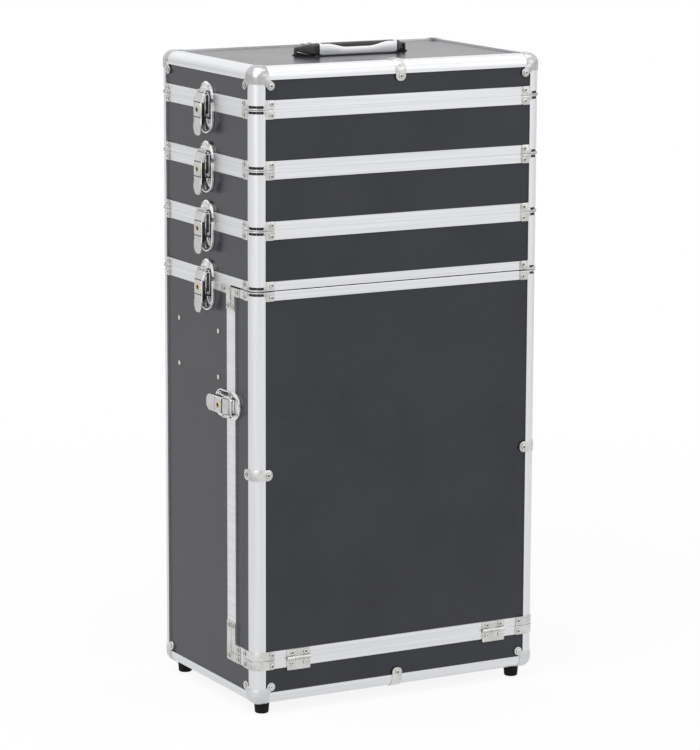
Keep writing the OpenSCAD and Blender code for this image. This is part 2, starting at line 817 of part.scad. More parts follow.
module door_rims() {
    seam_x = -door_seam_y;
    upright_h = door_top_z - tub_z - 2 * (rim_h + joint_gap);
    color(aluminium) {
        difference() {
            on_face(0) {
                translate([0, 0, tub_z]) bar(-bar_reach(0), bar_reach(0)) rim_section(1, true);
                translate([0, 0, door_top_z]) bar(-bar_reach(0), bar_reach(0)) rim_section(-1, true);
            }
            knuckle_reliefs();
        }
        both_sides() swing_clear() on_face(3) {
            translate([0, 0, tub_z]) bar(seam_x, bar_reach(3)) rim_section(1, true);
            translate([0, 0, door_top_z]) bar(seam_x, bar_reach(3)) rim_section(-1, true);
            translate([seam_x, 0, tub_z + rim_h + joint_gap]) linear_extrude(height = upright_h)
                rotate(90) mirror([0, 1]) rim_section(1, true);
        }
    }
}

module door_fittings() {
    seam_x = -door_seam_y;
    color(nickel) both_sides() {
        swing_clear() corner_bracket(door_top_z, -1);
        corner_bracket(tub_z, 1, true);
        swing_clear() on_face(3) ell_bracket(seam_x, door_top_z, 1, -1, ell_arm, ell_drop);
        on_face(3) ell_bracket(seam_x, tub_z, 1, 1, ell_arm, ell_rise);
        at_corner() translate([0, 0, door_strap_z]) edge_strap();
    }
    color(chrome_look) both_sides() door_latch() latch_strike(door_rib_n);
}
door_strap_z = tub_z + (cabinet_z - tub_z) * 0.507;   // straps round the long door posts

// ---------- Drawers ----------

drawer_front_y = door_seam_y + 3;
drawer_back_y = runner_back_y - 8;

// A box that hangs on its two side lips, with a finger notch in the front
module drawer(runner_z) {
    lip_z = runner_z + runner_t / 2 + slide_gap;
    box_w = case_w - 2 * (panel_in + runner_w + 1);
    lip_w = case_w - 2 * (panel_in + inner_t + 1.5);
    length = drawer_back_y - drawer_front_y;
    z0 = lip_z + lip_t - drawer_h;
    color(drawer_grey) translate([0, drawer_front_y, 0]) difference() {
        union() {
            translate([-box_w / 2, 0, z0]) cube([box_w, length, drawer_h]);
            translate([-lip_w / 2, 0, lip_z]) cube([lip_w, length, lip_t]);
        }
        translate([-box_w / 2 + drawer_wall, drawer_wall, z0 + drawer_wall])
            cube([box_w - 2 * drawer_wall, length - 2 * drawer_wall, drawer_h]);
        translate([0, -1, z0 + drawer_h]) rotate([-90, 0, 0]) cylinder(r = 14, h = drawer_wall + 2);
    }
}

module upper_drawer() {
    drawer(upper_runner_z);
}

module lower_drawer() {
    drawer(upper_runner_z - runner_pitch);
}

// ---------- Trays and lid ----------
// Tray n stands on seam n + 1 and reaches up to seam n.

module tray_walls(n) {
    color(laminate) wall_panels(seam_z(n + 1) + web_t, seam_z(n) - web_t);
}

module tray_floor(n) {
    color(laminate) board(seam_z(n + 1) + floor_lift, floor_t);
}

module tray_frame(n) {
    color(aluminium) {
        four_corners() post(seam_z(n + 1), seam_z(n), post_recess, post_recess);
        rim_ring(seam_z(n + 1), 1, false);
        rim_ring(seam_z(n), -1, true);
    }
}

module tray_fittings(n) {
    color(nickel) {
        bracket_set(seam_z(n + 1), 1);
        bracket_set(seam_z(n), -1);
    }
    color(chrome_look) both_sides() {
        side_latch(n + 1) latch_strike();
        side_latch(n) latch_base();
    }
}

module lid_top_panel() {
    color(laminate) translate([0, 0, top_z - skin_t - panel_t / 2])
        cube([case_w - 2 * panel_end, case_d - 2 * panel_end, panel_t], center = true);
}

module lid_walls() {
    color(laminate) wall_panels(seam_z(1) + web_t, top_z - panel_end);
}

module lid_frame() {
    color(aluminium) {
        four_corners() post(seam_z(1), top_z - edge_reach, post_recess, 0);
        rim_ring(seam_z(1), 1, false);
        edge_ring(top_z, -1);
    }
}

module lid_fittings() {
    color(nickel) {
        bracket_set(seam_z(1), 1);
        edge_straps(top_z, 1);
    }
    color(chrome_look) both_sides() side_latch(1) latch_strike();
}

module top_corner_caps() {
    color(nickel) cap_set(top_z, -1);
}

// ---------- Handle ----------

lid_face_z = top_z - skin_t;
handle_z = lid_face_z + slide_gap + grip_h / 2;   // pivot line, half a grip above the lid
handle_pin_l = 6;      // how deep the pins reach into the handle
lug_base_l = 16;
lug_base_w = 16;
lug_base_t = 1.2;

module handle_mounts() {
    lug_h = handle_z - lid_face_z;
    color(rubber) both_sides() translate([-handle_l / 2 - slide_gap - lug_t, 0, lid_face_z]) {
        translate([0, -lug_base_w / 2, 0]) cube([lug_base_l, lug_base_w, lug_base_t]);
        translate([0, -handle_tip_r, 0]) cube([lug_t, 2 * handle_tip_r, lug_h]);
        translate([0, 0, lug_h]) rotate([0, 90, 0]) {
            cylinder(r = handle_tip_r, h = lug_t);
            cylinder(r = handle_pin_r, h = lug_t + slide_gap + handle_pin_l);
        }
    }
}

module handle_core() {
    color(rubber) translate([0, 0, handle_z]) difference() {
        union() {
            translate([-grip_l / 2, -grip_drop - grip_t / 2, -grip_h / 2]) cube([grip_l, grip_t, grip_h]);
            both_sides() hull() {
                translate([-handle_l / 2, 0, 0]) rotate([0, 90, 0])
                    cylinder(r = handle_tip_r, h = 6, $fn = 32);
                translate([-grip_l / 2, -grip_drop - grip_t / 2, -grip_h / 2]) cube([1, grip_t, grip_h]);
            }
        }
        both_sides() translate([-handle_l / 2 - 1, 0, 0]) rotate([0, 90, 0])
            cylinder(r = handle_pin_r + pin_gap, h = handle_pin_l + 1.5);
    }
}

// Bright cover on the front of the grip, scooped out along its top edge
module handle_cover() {
    scoop = grip_h * 0.28;
    chord = grip_l * 0.6;
    scoop_r = (chord * chord / 4 + scoop * scoop) / (2 * scoop);
    color(aluminium) translate([0, -grip_drop - grip_t / 2 - 1.5, handle_z]) difference() {
        translate([-grip_l / 2, 0, -grip_h / 2]) cube([grip_l, 1.5, grip_h]);
        translate([0, -1, grip_h / 2 - scoop + scoop_r]) rotate([-90, 0, 0])
            cylinder(r = scoop_r, h = 4, $fn = 180);
    }
}

// ---------- Nodes ----------

cabinet_side_panels();
cabinet_back_panel();
cabinet_floor_panel();
cabinet_front_strip();
cabinet_posts();
cabinet_bottom_edges();
cabinet_rims();
cabinet_fittings();
bottom_corner_caps();
rubber_feet();
drawer_runners();
hinge_lower_leaves();
door_front_panel();
door_side_panels();
door_posts();
door_rims();
door_fittings();
hinge_upper_leaves();
upper_drawer();
lower_drawer();
tray_walls(3);  // tray_3_walls
tray_floor(3);  // tray_3_floor
tray_frame(3);  // tray_3_frame
tray_fittings(3);  // tray_3_fittings
tray_walls(2);  // tray_2_walls
tray_floor(2);  // tray_2_floor
tray_frame(2);  // tray_2_frame
tray_fittings(2);  // tray_2_fittings
tray_walls(1);  // tray_1_walls
tray_floor(1);  // tray_1_floor
tray_frame(1);  // tray_1_frame
tray_fittings(1);  // tray_1_fittings
lid_top_panel();
lid_walls();
lid_frame();
lid_fittings();
top_corner_caps();
handle_mounts();
handle_core();
handle_cover();
color(chrome_look) side_latch(1) latch_lever();  // left_lever_1
color(chrome_look) side_latch(1) latch_claw();  // left_claw_1
color(chrome_look) right_side_latch(1) latch_lever();  // right_lever_1
color(chrome_look) right_side_latch(1) latch_claw();  // right_claw_1
color(chrome_look) side_latch(2) latch_lever();  // left_lever_2
color(chrome_look) side_latch(2) latch_claw();  // left_claw_2
color(chrome_look) right_side_latch(2) latch_lever();  // right_lever_2
color(chrome_look) right_side_latch(2) latch_claw();  // right_claw_2
color(chrome_look) side_latch(3) latch_lever();  // left_lever_3
color(chrome_look) side_latch(3) latch_claw();  // left_claw_3
color(chrome_look) right_side_latch(3) latch_lever();  // right_lever_3
color(chrome_look) right_side_latch(3) latch_claw();  // right_claw_3
color(chrome_look) side_latch(4) latch_lever();  // left_lever_4
color(chrome_look) side_latch(4) latch_claw();  // left_claw_4
color(chrome_look) right_side_latch(4) latch_lever();  // right_lever_4
color(chrome_look) right_side_latch(4) latch_claw();  // right_claw_4
color(chrome_look) door_latch() latch_lever();  // left_door_lever
color(chrome_look) door_latch() latch_claw();  // left_door_claw
color(chrome_look) right_door_latch() latch_lever();  // right_door_lever
color(chrome_look) right_door_latch() latch_claw();  // right_door_claw
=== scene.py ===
import bpy
import bmesh
import json
import math
from mathutils import Matrix, Vector

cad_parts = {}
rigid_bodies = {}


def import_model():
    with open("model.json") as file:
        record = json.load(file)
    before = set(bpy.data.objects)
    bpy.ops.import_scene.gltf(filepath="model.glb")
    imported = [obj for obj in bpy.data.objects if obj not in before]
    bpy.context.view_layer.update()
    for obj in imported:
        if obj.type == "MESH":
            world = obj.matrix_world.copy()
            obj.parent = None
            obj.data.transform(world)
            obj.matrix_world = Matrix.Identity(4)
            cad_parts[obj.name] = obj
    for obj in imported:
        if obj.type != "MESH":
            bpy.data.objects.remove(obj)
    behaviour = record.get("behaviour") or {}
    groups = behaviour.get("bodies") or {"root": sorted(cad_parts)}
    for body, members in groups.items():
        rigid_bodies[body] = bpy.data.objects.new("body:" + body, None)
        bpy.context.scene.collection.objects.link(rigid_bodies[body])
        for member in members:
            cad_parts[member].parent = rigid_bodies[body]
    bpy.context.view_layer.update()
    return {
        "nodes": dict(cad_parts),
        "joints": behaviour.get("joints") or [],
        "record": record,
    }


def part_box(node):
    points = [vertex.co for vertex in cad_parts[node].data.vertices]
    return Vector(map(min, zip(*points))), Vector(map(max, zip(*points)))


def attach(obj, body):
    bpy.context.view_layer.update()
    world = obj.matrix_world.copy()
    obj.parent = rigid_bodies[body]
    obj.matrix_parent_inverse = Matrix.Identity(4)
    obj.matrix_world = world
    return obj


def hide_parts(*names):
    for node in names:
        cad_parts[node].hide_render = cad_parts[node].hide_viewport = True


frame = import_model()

mm = 0.001
slack = 0.1        # millimetres by which a place may be off when something is picked by its place
squarely = 0.9     # how nearly a face or an edge has to lie along an axis to be picked by it
print("frame loaded:", len(frame["nodes"]), "nodes")


# Working in object and edit mode

def clearSelection():
    if bpy.context.object and bpy.context.object.mode != "OBJECT":
        bpy.ops.object.mode_set(mode="OBJECT")
    bpy.ops.object.select_all(action="DESELECT")


def activate(thing):
    clearSelection()
    thing.select_set(True)
    bpy.context.view_layer.objects.active = thing


def freeze(thing):  # moves the object's place into its mesh
    activate(thing)
    bpy.ops.object.transform_apply(location=True, rotation=True, scale=True)
    return thing


def addBox(low, high):  # a block between two corners, in millimetres
    clearSelection()
    low, high = Vector(low) * mm, Vector(high) * mm
    bpy.ops.mesh.primitive_cube_add(size=1, location=(low + high) / 2)
    box = bpy.context.object
    box.scale = high - low
    return freeze(box)


def addRod(centre, radius, length, axis="z", sides=32):  # a cylinder about its centre, in millimetres
    clearSelection()
    turn = {"x": (0, math.pi / 2, 0), "y": (math.pi / 2, 0, 0), "z": (0, 0, 0)}[axis]
    bpy.ops.mesh.primitive_cylinder_add(vertices=sides, radius=radius * mm, depth=length * mm,
                                        location=Vector(centre) * mm, rotation=turn)
    return freeze(bpy.context.object)


def editing(thing, kind):  # edit mode with nothing selected, in VERT, EDGE or FACE mode
    activate(thing)
    bpy.ops.object.mode_set(mode="EDIT")
    bpy.ops.mesh.select_mode(type=kind)
    bpy.ops.mesh.select_all(action="DESELECT")
    return bmesh.from_edit_mesh(thing.data)


def pickFaces(thing, test):  # selects the faces whose centre and normal pass the test
    mesh = editing(thing, "FACE")
    for face in mesh.faces:
        if test(face.calc_center_median() / mm, face.normal):
            face.select_set(True)
    bmesh.update_edit_mesh(thing.data)


def pickEdges(thing, test):  # selects the edges whose middle and direction pass the test
    mesh = editing(thing, "EDGE")
    for edge in mesh.edges:
        a, b = edge.verts[0].co / mm, edge.verts[1].co / mm
        if test((a + b) / 2, (b - a).normalized()):
            edge.select_set(True)
    bmesh.update_edit_mesh(thing.data)


def pickPoints(thing, test):  # selects the vertices whose place passes the test
    mesh = editing(thing, "VERT")
    for point in mesh.verts:
        if test(point.co / mm):
            point.select_set(True)
    bmesh.update_edit_mesh(thing.data)


def leaveEdit():
    bpy.ops.object.mode_set(mode="OBJECT")


def pull(x, y, z):  # extrudes what is selected, in millimetres
    bpy.ops.mesh.extrude_region_move(TRANSFORM_OT_translate={"value": (x * mm, y * mm, z * mm)})


def shift(x, y, z):
    bpy.ops.transform.translate(value=(x * mm, y * mm, z * mm))


def widen(x, y, z, centre):  # scales what is selected about a point
    bpy.ops.transform.resize(value=(x, y, z), center_override=Vector(centre) * mm)


def cutAway(thing, point, normal):  # keeps what lies on the normal's side of a plane, and closes the cut
    editing(thing, "FACE")
    bpy.ops.mesh.select_all(action="SELECT")
    bpy.ops.mesh.bisect(plane_co=Vector(point) * mm, plane_no=normal, use_fill=True, clear_inner=True)
    leaveEdit()


def faceAway(thing, point):  # turns an open sheet's normals away from a point
    editing(thing, "FACE")
    bpy.ops.mesh.select_all(action="SELECT")
    bpy.ops.mesh.normals_make_consistent(inside=False)
    mesh = bmesh.from_edit_mesh(thing.data)
    away = sum(face.normal.dot(face.calc_center_median() - Vector(point) * mm) for face in mesh.faces)
    if away < 0:
        bpy.ops.mesh.flip_normals()
    leaveEdit()


def thicken(thing, thickness, side=1):  # gives a sheet its wall: side 1 grows outwards, -1 inwards
    activate(thing)
    wall = thing.modifiers.new("Wall", "SOLIDIFY")
    wall.thickness = thickness * mm
    wall.offset = side
    bpy.ops.object.modifier_apply(modifier=wall.name)
    return thing


def roundEdges(thing, width, segments=2, angle=35):  # bevels what is sharper than the angle
    activate(thing)
    bevel = thing.modifiers.new("Bevel", "BEVEL")
    bevel.width = width * mm
    bevel.segments = segments
    bevel.limit_method = "ANGLE"
    bevel.angle_limit = math.radians(angle)
    bpy.ops.object.modifier_apply(modifier=bevel.name)
    return thing


def bevelPicked(width, segments=4, affect="EDGES"):
    bpy.ops.mesh.bevel(offset=width * mm, segments=segments, affect=affect)


def bevelEdges(thing, test, width, segments=4):
    pickEdges(thing, test)
    bevelPicked(width, segments)
    leaveEdit()


def stepFaces(thing, test, *steps):  # insets and raises the faces that pass the test, step by step
    pickFaces(thing, test)
    for inwards, upwards in steps:
        bpy.ops.mesh.inset(thickness=inwards * mm, depth=upwards * mm)
    leaveEdit()


def pullFaces(thing, test, x, y, z):
    pickFaces(thing, test)
    pull(x, y, z)
    leaveEdit()


def facing(x, y, z):  # a test for faces that look this way
    way = Vector((x, y, z))
    return lambda centre, normal: normal.dot(way) > squarely


def lying(axis, where=lambda middle: True):  # a test for edges along an axis, at some place if one is named
    number = "xyz".index(axis)
    return lambda middle, along: abs(along[number]) > squarely and where(middle)


def isEnd(centre, normal):  # the two faces that look along x
    return abs(normal.x) > squarely


isTop = facing(0, 0, 1)


def joined(parts):
    clearSelection()
    for part in parts:
        part.select_set(True)
    bpy.context.view_layer.objects.active = parts[0]
    if len(parts) > 1:
        bpy.ops.object.join()
    return bpy.context.view_layer.objects.active


def copied(source, turn):  # a copy with its own mesh, moved by a matrix in its mesh
    twin = source.copy()
    twin.data = source.data.copy()
    bpy.context.collection.objects.link(twin)
    twin.data.transform(turn)
    if turn.determinant() < 0:
        twin.data.flip_normals()
    return twin


def scrap(*things):  # clears away the models that the copies were made from
    for thing in things:
        bpy.data.objects.remove(thing)


def axes(x, y, z, place=(0, 0, 0)):  # a matrix from three axes and a place in millimetres
    turn = Matrix((Vector(x), Vector(y), Vector(z))).transposed().to_4x4()
    return Matrix.Translation(Vector(place) * mm) @ turn


def paint(thing, *materials):
    thing.data.materials.clear()
    for material in materials:
        thing.data.materials.append(material)
    return thing


def paintFaces(thing, slotNumber, test):  # gives the faces that pass the test another material slot
    for face in thing.data.polygons:
        if test(face.center / mm, face.normal):
            face.material_index = slotNumber


def fit(thing, name, body, nodes):  # a finished piece rides on its body in place of CAD nodes
    activate(thing)
    bpy.ops.object.shade_smooth_by_angle(angle=math.radians(35))
    thing.name = name
    thing.data.name = name
    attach(thing, body)
    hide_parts(*nodes)


# The case's own lines in millimetres: its seams and edges are read from the frame

def lowOf(node):
    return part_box(node)[0] / mm


def highOf(node):
    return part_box(node)[1] / mm


jointOf = {joint["name"]: joint for joint in frame["joints"]}
case = {
    "halfX": highOf("tray_1_frame").x,
    "halfY": highOf("tray_1_frame").y,
    "seams": {4: lowOf("tray_3_frame").z, 3: lowOf("tray_2_frame").z,
              2: lowOf("tray_1_frame").z, 1: lowOf("lid_frame").z},
    "top": highOf("lid_frame").z,
    "base": lowOf("cabinet_bottom_edges").z,
    "tub": jointOf["door_hinge"]["pos_m"][2] / mm,
    "doorTop": highOf("door_posts").z,
    "doorSeam": highOf("door_rims").y,
    "edge": 14.5,     # width of the corner and edge profiles
    "edgeRound": 11.5,
    "rim": 10.2,      # height of the rims beside a seam
    "skin": 2.0,      # the panels lie this far inside the profiles
}
print("case lines:", {key: value for key, value in case.items() if key != "seams"}, case["seams"])


# Shader nodes

def addNode(tree, kind, inputs={}, **settings):  # an input is linked to a socket or set to a value
    node = tree.nodes.new("ShaderNode" + kind)
    for name, value in settings.items():
        setattr(node, name, value)
    for name, value in inputs.items():
        if isinstance(value, bpy.types.NodeSocket):
            tree.links.new(value, node.inputs[name])
        else:
            node.inputs[name].default_value = value
    return node


def work(tree, operation, *values):  # one step of arithmetic between sockets or numbers
    return addNode(tree, "Math", dict(enumerate(values)), operation=operation).outputs[0]


def spread(tree, source, low, high, fromLow=0.3, fromHigh=0.7, **settings):  # maps a factor to a range
    ends = {"Value": source, "From Min": fromLow, "From Max": fromHigh, "To Min": low, "To Max": high}
    return addNode(tree, "MapRange", ends, **settings).outputs["Result"]


# Camera, floor and light

studio = {
    "cameraPlace": (-1.90697, -3.46122, 1.11192),
    "cameraTurn": -28.8716,   # degrees about the upright axis
    "cameraDip": 10.7785,     # degrees below the horizon
    "cameraRoll": 0.2185,
    "lens": 165.44,           # millimetres
    "sensor": 36,
    "floorSize": 40,
    "floorColour": (0.9, 0.9, 0.9, 1),
    "floorRoughness": 0.9,
    "shadowShare": 0.1,       # how much of the floor's own shading the camera sees near the case
    "fadeFrom": 0.5,          # metres from the case's middle where the floor starts to turn plain white
    "fadeTo": 1.6,
    "worldStrength": 0.62,
    "skyRise": (0.04, 0.25),  # between these heights of direction, reflections find the sky brighter
    "skyGain": 0.5,
    "lamps": {
        "keyLamp": {"place": (-2.4, -1.6, 1.8), "target": (0, 0, 0.35), "size": 2.2, "power": 26},
        "fillLamp": {"place": (1.6, -2.6, 1.4), "target": (0, 0, 0.4), "size": 1.6, "power": 6},
        "topLamp": {"place": (-0.4, -0.4, 2.6), "target": (0, 0, 0.7), "size": 2.8, "power": 36},
    },
}


def buildCamera():
    lens = bpy.data.cameras.new("camera")
    lens.sensor_fit = "AUTO"
    lens.sensor_width = studio["sensor"]
    lens.lens = studio["lens"]
    camera = bpy.data.objects.new("camera", lens)
    bpy.context.collection.objects.link(camera)
    turn = Matrix.Rotation(math.radians(studio["cameraTurn"]), 4, "Z")
    tilt = Matrix.Rotation(math.radians(90 - studio["cameraDip"]), 4, "X")
    roll = Matrix.Rotation(math.radians(studio["cameraRoll"]), 4, "Z")
    camera.matrix_world = Matrix.Translation(studio["cameraPlace"]) @ turn @ tilt @ roll
    bpy.context.scene.camera = camera


def seenOrMirrored(tree):  # 1 for what the camera or a mirror sees, 0 for what lights the case
    path = addNode(tree, "LightPath")
    return work(tree, "MAXIMUM", path.outputs["Is Camera Ray"], path.outputs["Is Glossy Ray"])


def buildFloor():  # white to the eye and to metal, with the case's shadow near its feet
    clearSelection()
    bpy.ops.mesh.primitive_plane_add(size=studio["floorSize"], location=(0, 0, 0))
    floor = bpy.context.object
    floor.name = "floor"
    material = bpy.data.materials.new("floorWhite")
    material.use_nodes = True
    tree = material.node_tree
    shader = tree.nodes["Principled BSDF"]
    shader.inputs["Base Color"].default_value = studio["floorColour"]
    shader.inputs["Roughness"].default_value = studio["floorRoughness"]
    shader.inputs["Specular IOR Level"].default_value = 0
    place = addNode(tree, "TexCoord").outputs["Object"]
    reach = addNode(tree, "VectorMath", {0: place}, operation="LENGTH").outputs["Value"]
    fade = spread(tree, reach, 1 - studio["shadowShare"], 1, studio["fadeFrom"], studio["fadeTo"],
                  interpolation_type="SMOOTHSTEP")
    share = work(tree, "MULTIPLY", seenOrMirrored(tree), fade)
    white = addNode(tree, "Emission")
    mix = addNode(tree, "MixShader", {0: share, 1: shader.outputs[0], 2: white.outputs[0]})
    tree.links.new(mix.outputs[0], tree.nodes["Material Output"].inputs["Surface"])
    paint(floor, material)


def addLamp(name, place, target, size, power):  # a square lamp that looks at its target
    light = bpy.data.lights.new(name, "AREA")
    light.shape = "RECTANGLE"
    light.size = size
    light.size_y = size
    light.energy = power
    lamp = bpy.data.objects.new(name, light)
    bpy.context.collection.objects.link(lamp)
    aim = Vector(target) - Vector(place)
    lamp.matrix_world = Matrix.Translation(place) @ aim.to_track_quat("-Z", "Y").to_matrix().to_4x4()


def buildLight():
    world = bpy.data.worlds.new("studio")
    world.use_nodes = True
    bpy.context.scene.world = world
    tree = world.node_tree
    sky = tree.nodes["Background"]
    sky.inputs["Color"].default_value = (1, 1, 1, 1)
    sky.inputs["Strength"].default_value = studio["worldStrength"]
    place = addNode(tree, "TexCoord").outputs["Generated"]
    height = addNode(tree, "SeparateXYZ", {0: place}).outputs["Z"]
    rise = spread(tree, height, 0, studio["skyGain"], *studio["skyRise"])
    mirrored = addNode(tree, "LightPath").outputs["Is Glossy Ray"]
    white = addNode(tree, "Background", {"Strength": work(tree, "MULTIPLY_ADD", rise, mirrored, 1)})
    mix = addNode(tree, "MixShader", {0: seenOrMirrored(tree), 1: sky.outputs[0], 2: white.outputs[0]})
    tree.links.new(mix.outputs[0], tree.nodes["World Output"].inputs["Surface"])
    for name, lamp in studio["lamps"].items():
        addLamp(name, **lamp)


# Finishes, all procedural and in object coordinates

def startMaterial(name, metal=0.0, gloss=0.5):
    material = bpy.data.materials.new(name)
    material.use_nodes = True
    shader = material.node_tree.nodes["Principled BSDF"]
    shader.inputs["Metallic"].default_value = metal
    shader.inputs["Specular IOR Level"].default_value = gloss
    return material, material.node_tree


def addNoise(tree, scale, detail=4, stretch=(1, 1, 1)):  # noise, drawn out along the axes
    place = addNode(tree, "TexCoord").outputs["Object"]
    mapping = addNode(tree, "Mapping", {"Vector": place, "Scale": stretch})
    vector = mapping.outputs["Vector"]
    return addNode(tree, "TexNoise", {"Vector": vector, "Scale": scale, "Detail": detail}).outputs["Fac"]


def addDots(tree, scale, unevenness):  # a slanting lattice of dots
    place = addNode(tree, "TexCoord").outputs["Object"]
    slant = (math.radians(45), 0, math.radians(45))
    mapping = addNode(tree, "Mapping", {"Vector": place, "Rotation": slant})
    vector = mapping.outputs["Vector"]
    dots = addNode(tree, "TexVoronoi", {"Vector": vector, "Scale": scale, "Randomness": unevenness})
    return dots.outputs["Distance"]


def average(tree, first, second, share=0.5):  # share of the first and the rest of the second
    some, rest = work(tree, "MULTIPLY", first, share), work(tree, "MULTIPLY", second, 1 - share)
    return work(tree, "ADD", some, rest)


def dress(tree, colours, shade, roughness, polish, relief, strength, depth):
    # colour between two by the shade, roughness between two by the polish, and bumps from the relief
    dark, light = colours
    shader = tree.nodes["Principled BSDF"]
    blend = addNode(tree, "Mix", {"Factor": shade, "A": (*dark, 1), "B": (*light, 1)}, data_type="RGBA")
    tree.links.new(blend.outputs["Result"], shader.inputs["Base Color"])
    tree.links.new(spread(tree, polish, *roughness), shader.inputs["Roughness"])
    bump = addNode(tree, "Bump", {"Strength": strength, "Distance": depth * mm, "Height": relief})
    tree.links.new(bump.outputs["Normal"], shader.inputs["Normal"])


laminateLook = {
    "colours": ((0.0135, 0.0148, 0.0205), (0.0225, 0.024, 0.031)),
    "shadeSpread": (0.36, 0.56),
    "cloudScale": 9,       # slow changes of shade over the boards
    "grainScale": 700,     # the embossed grain
    "roughness": (0.21, 0.27),
    "gloss": 0.38,
    "dotScale": 400,       # the lattice of pressed dots
    "dotUnevenness": 0.3,
    "dotShare": 0.6,       # dots against grain
    "grainStrength": 0.3,
    "grainDepth": 0.05,
}


def makeLaminate(look=laminateLook):  # charcoal film with a fine embossed grain
    material, tree = startMaterial("laminate", 0, look["gloss"])
    cloud = addNoise(tree, look["cloudScale"], 3)
    grain = addNoise(tree, look["grainScale"], 3)
    dots = addDots(tree, look["dotScale"], look["dotUnevenness"])
    relief = average(tree, dots, grain, look["dotShare"])
    shade = spread(tree, average(tree, cloud, relief), 0, 1, *look["shadeSpread"])
    dress(tree, look["colours"], shade, look["roughness"], cloud, relief, look["grainStrength"],
          look["grainDepth"])
    return material


profileLook = {
    "colours": ((0.63, 0.637, 0.655), (0.75, 0.757, 0.775)),
    "shadeSpread": (0.25, 0.75),
    "lines": 420,          # drawing lines across a profile, per metre
    "slow": 3,             # how slowly the lines change along it
    "fineScale": 900,
    "roughness": (0.34, 0.46),
    "lineStrength": 0.2,
    "lineDepth": 0.05,
}


def makeProfile(look=profileLook):  # satin aluminium, its drawing lines along each profile
    material, tree = startMaterial("aluminiumProfile", 1)
    place = addNode(tree, "TexCoord").outputs["Object"]
    x, y, z = addNode(tree, "SeparateXYZ", {"Vector": place}).outputs
    awayX = work(tree, "ABSOLUTE", x)
    awayY = work(tree, "ABSOLUTE", y)
    atX = work(tree, "GREATER_THAN", awayX, (case["halfX"] - case["edge"]) * mm)
    atY = work(tree, "GREATER_THAN", awayY, (case["halfY"] - case["edge"]) * mm)
    upright = work(tree, "MULTIPLY", atX, atY)      # 1 on the corner posts, 0 on the rims
    around = work(tree, "MULTIPLY", work(tree, "SUBTRACT", awayX, awayY), look["lines"])
    level = work(tree, "MULTIPLY", z, look["lines"])
    slowUp = work(tree, "MULTIPLY", z, look["slow"])
    slowAlong = work(tree, "MULTIPLY", work(tree, "ADD", x, y), look["slow"])
    across = addNode(tree, "Mix", {"Factor": upright, "A": level, "B": around}).outputs["Result"]
    along = addNode(tree, "Mix", {"Factor": upright, "A": slowAlong, "B": slowUp}).outputs["Result"]
    lineSpace = addNode(tree, "CombineXYZ", {"X": across, "Y": along}).outputs["Vector"]
    lines = addNode(tree, "TexNoise", {"Vector": lineSpace, "Scale": 1, "Detail": 2}).outputs["Fac"]
    shade = spread(tree, lines, 0, 1, *look["shadeSpread"])
    dress(tree, look["colours"], shade, look["roughness"], addNoise(tree, look["fineScale"], 2), lines,
          look["lineStrength"], look["lineDepth"])
    return material


def makeMetal(name, dark, light, roughness, speckleScale, bumpStrength, bumpDepth=0.06, cloudSize=12,
              shadeSpread=(0.38, 0.62)):  # plated or cast metal with a speckled skin
    material, tree = startMaterial(name, 1)
    speckle = addNoise(tree, speckleScale, 3)
    cloud = addNoise(tree, speckleScale / cloudSize, 2)
    shade = spread(tree, average(tree, speckle, cloud), 0, 1, *shadeSpread)
    dress(tree, (dark, light), shade, roughness, cloud, speckle, bumpStrength, bumpDepth)
    return material


def makePlastic(name, dark, light, roughness, grainScale, bumpStrength, gloss=0.5, bumpDepth=0.05,
                cloudSize=15):  # moulded plastic or rubber with a fine leathery grain
    material, tree = startMaterial(name, 0, gloss)
    grain = addNoise(tree, grainScale, 4)
    shade = spread(tree, addNoise(tree, grainScale / cloudSize, 2), 0, 1)
    dress(tree, (dark, light), shade, roughness, grain, grain, bumpStrength, bumpDepth)
    return material


def makeBrushed(name, dark, light, roughness, lineScale, bumpStrength=0.2, bumpDepth=0.03, drawOut=0.02):
    # satin plate with lines along x
    material, tree = startMaterial(name, 1)
    lines = addNoise(tree, lineScale, 3, (drawOut, 1, 1))
    dress(tree, (dark, light), spread(tree, lines, 0, 1), roughness, lines, lines, bumpStrength, bumpDepth)
    return material


laminate = makeLaminate()
profile = makeProfile()
nickel = makeMetal("nickelPlate", (0.46, 0.458, 0.448), (0.7, 0.697, 0.685), (0.24, 0.36), 700, 0.35)
rivetNickel = makeMetal("rivetNickel", (0.62, 0.61, 0.56), (0.78, 0.77, 0.72), (0.14, 0.22), 1500, 0.1)
rivetPaintedShade = makeMetal("rivetPaintedShade", (0.13, 0.126, 0.11), (0.26, 0.25, 0.22), (0.2, 0.3), 1500, 0.2)
latchChrome = makeMetal("latchChrome", (0.56, 0.56, 0.56), (0.84, 0.84, 0.84), (0.12, 0.24), 1400, 0.35)
# near-black metal painted as shade into the latches' recess floors, channel sides, grooves and joints
latchPaintedShade = makeMetal("latchPaintedShade", (0.03, 0.03, 0.03), (0.08, 0.08, 0.08), (0.3, 0.45), 1400, 0.3)
latchFace = makeMetal("latchFace", (0.5, 0.5, 0.49), (0.62, 0.62, 0.6), (0.34, 0.44), 1500, 0.25)
brightCap = makeMetal("brightCap", (0.4, 0.4, 0.405), (0.53, 0.53, 0.54), (0.24, 0.32), 300, 0.08)
castCap = makeMetal("castCap", (0.52, 0.535, 0.54), (0.65, 0.665, 0.67), (0.36, 0.46), 700, 0.35)
brass = makeMetal("brass", (0.42, 0.3, 0.12), (0.6, 0.46, 0.22), (0.25, 0.35), 1800, 0.2)
# near-black painted into the dome rivet's dot and the keyhole slit as their shade
holePaintedShade = makeMetal("holePaintedShade", (0.015, 0.014, 0.012), (0.05, 0.045, 0.04), (0.4, 0.5), 1500, 0.2)
rubber = makePlastic("footRubber", (0.005, 0.005, 0.005), (0.011, 0.01, 0.0095), (0.6, 0.8), 900, 0.3, 0.12)
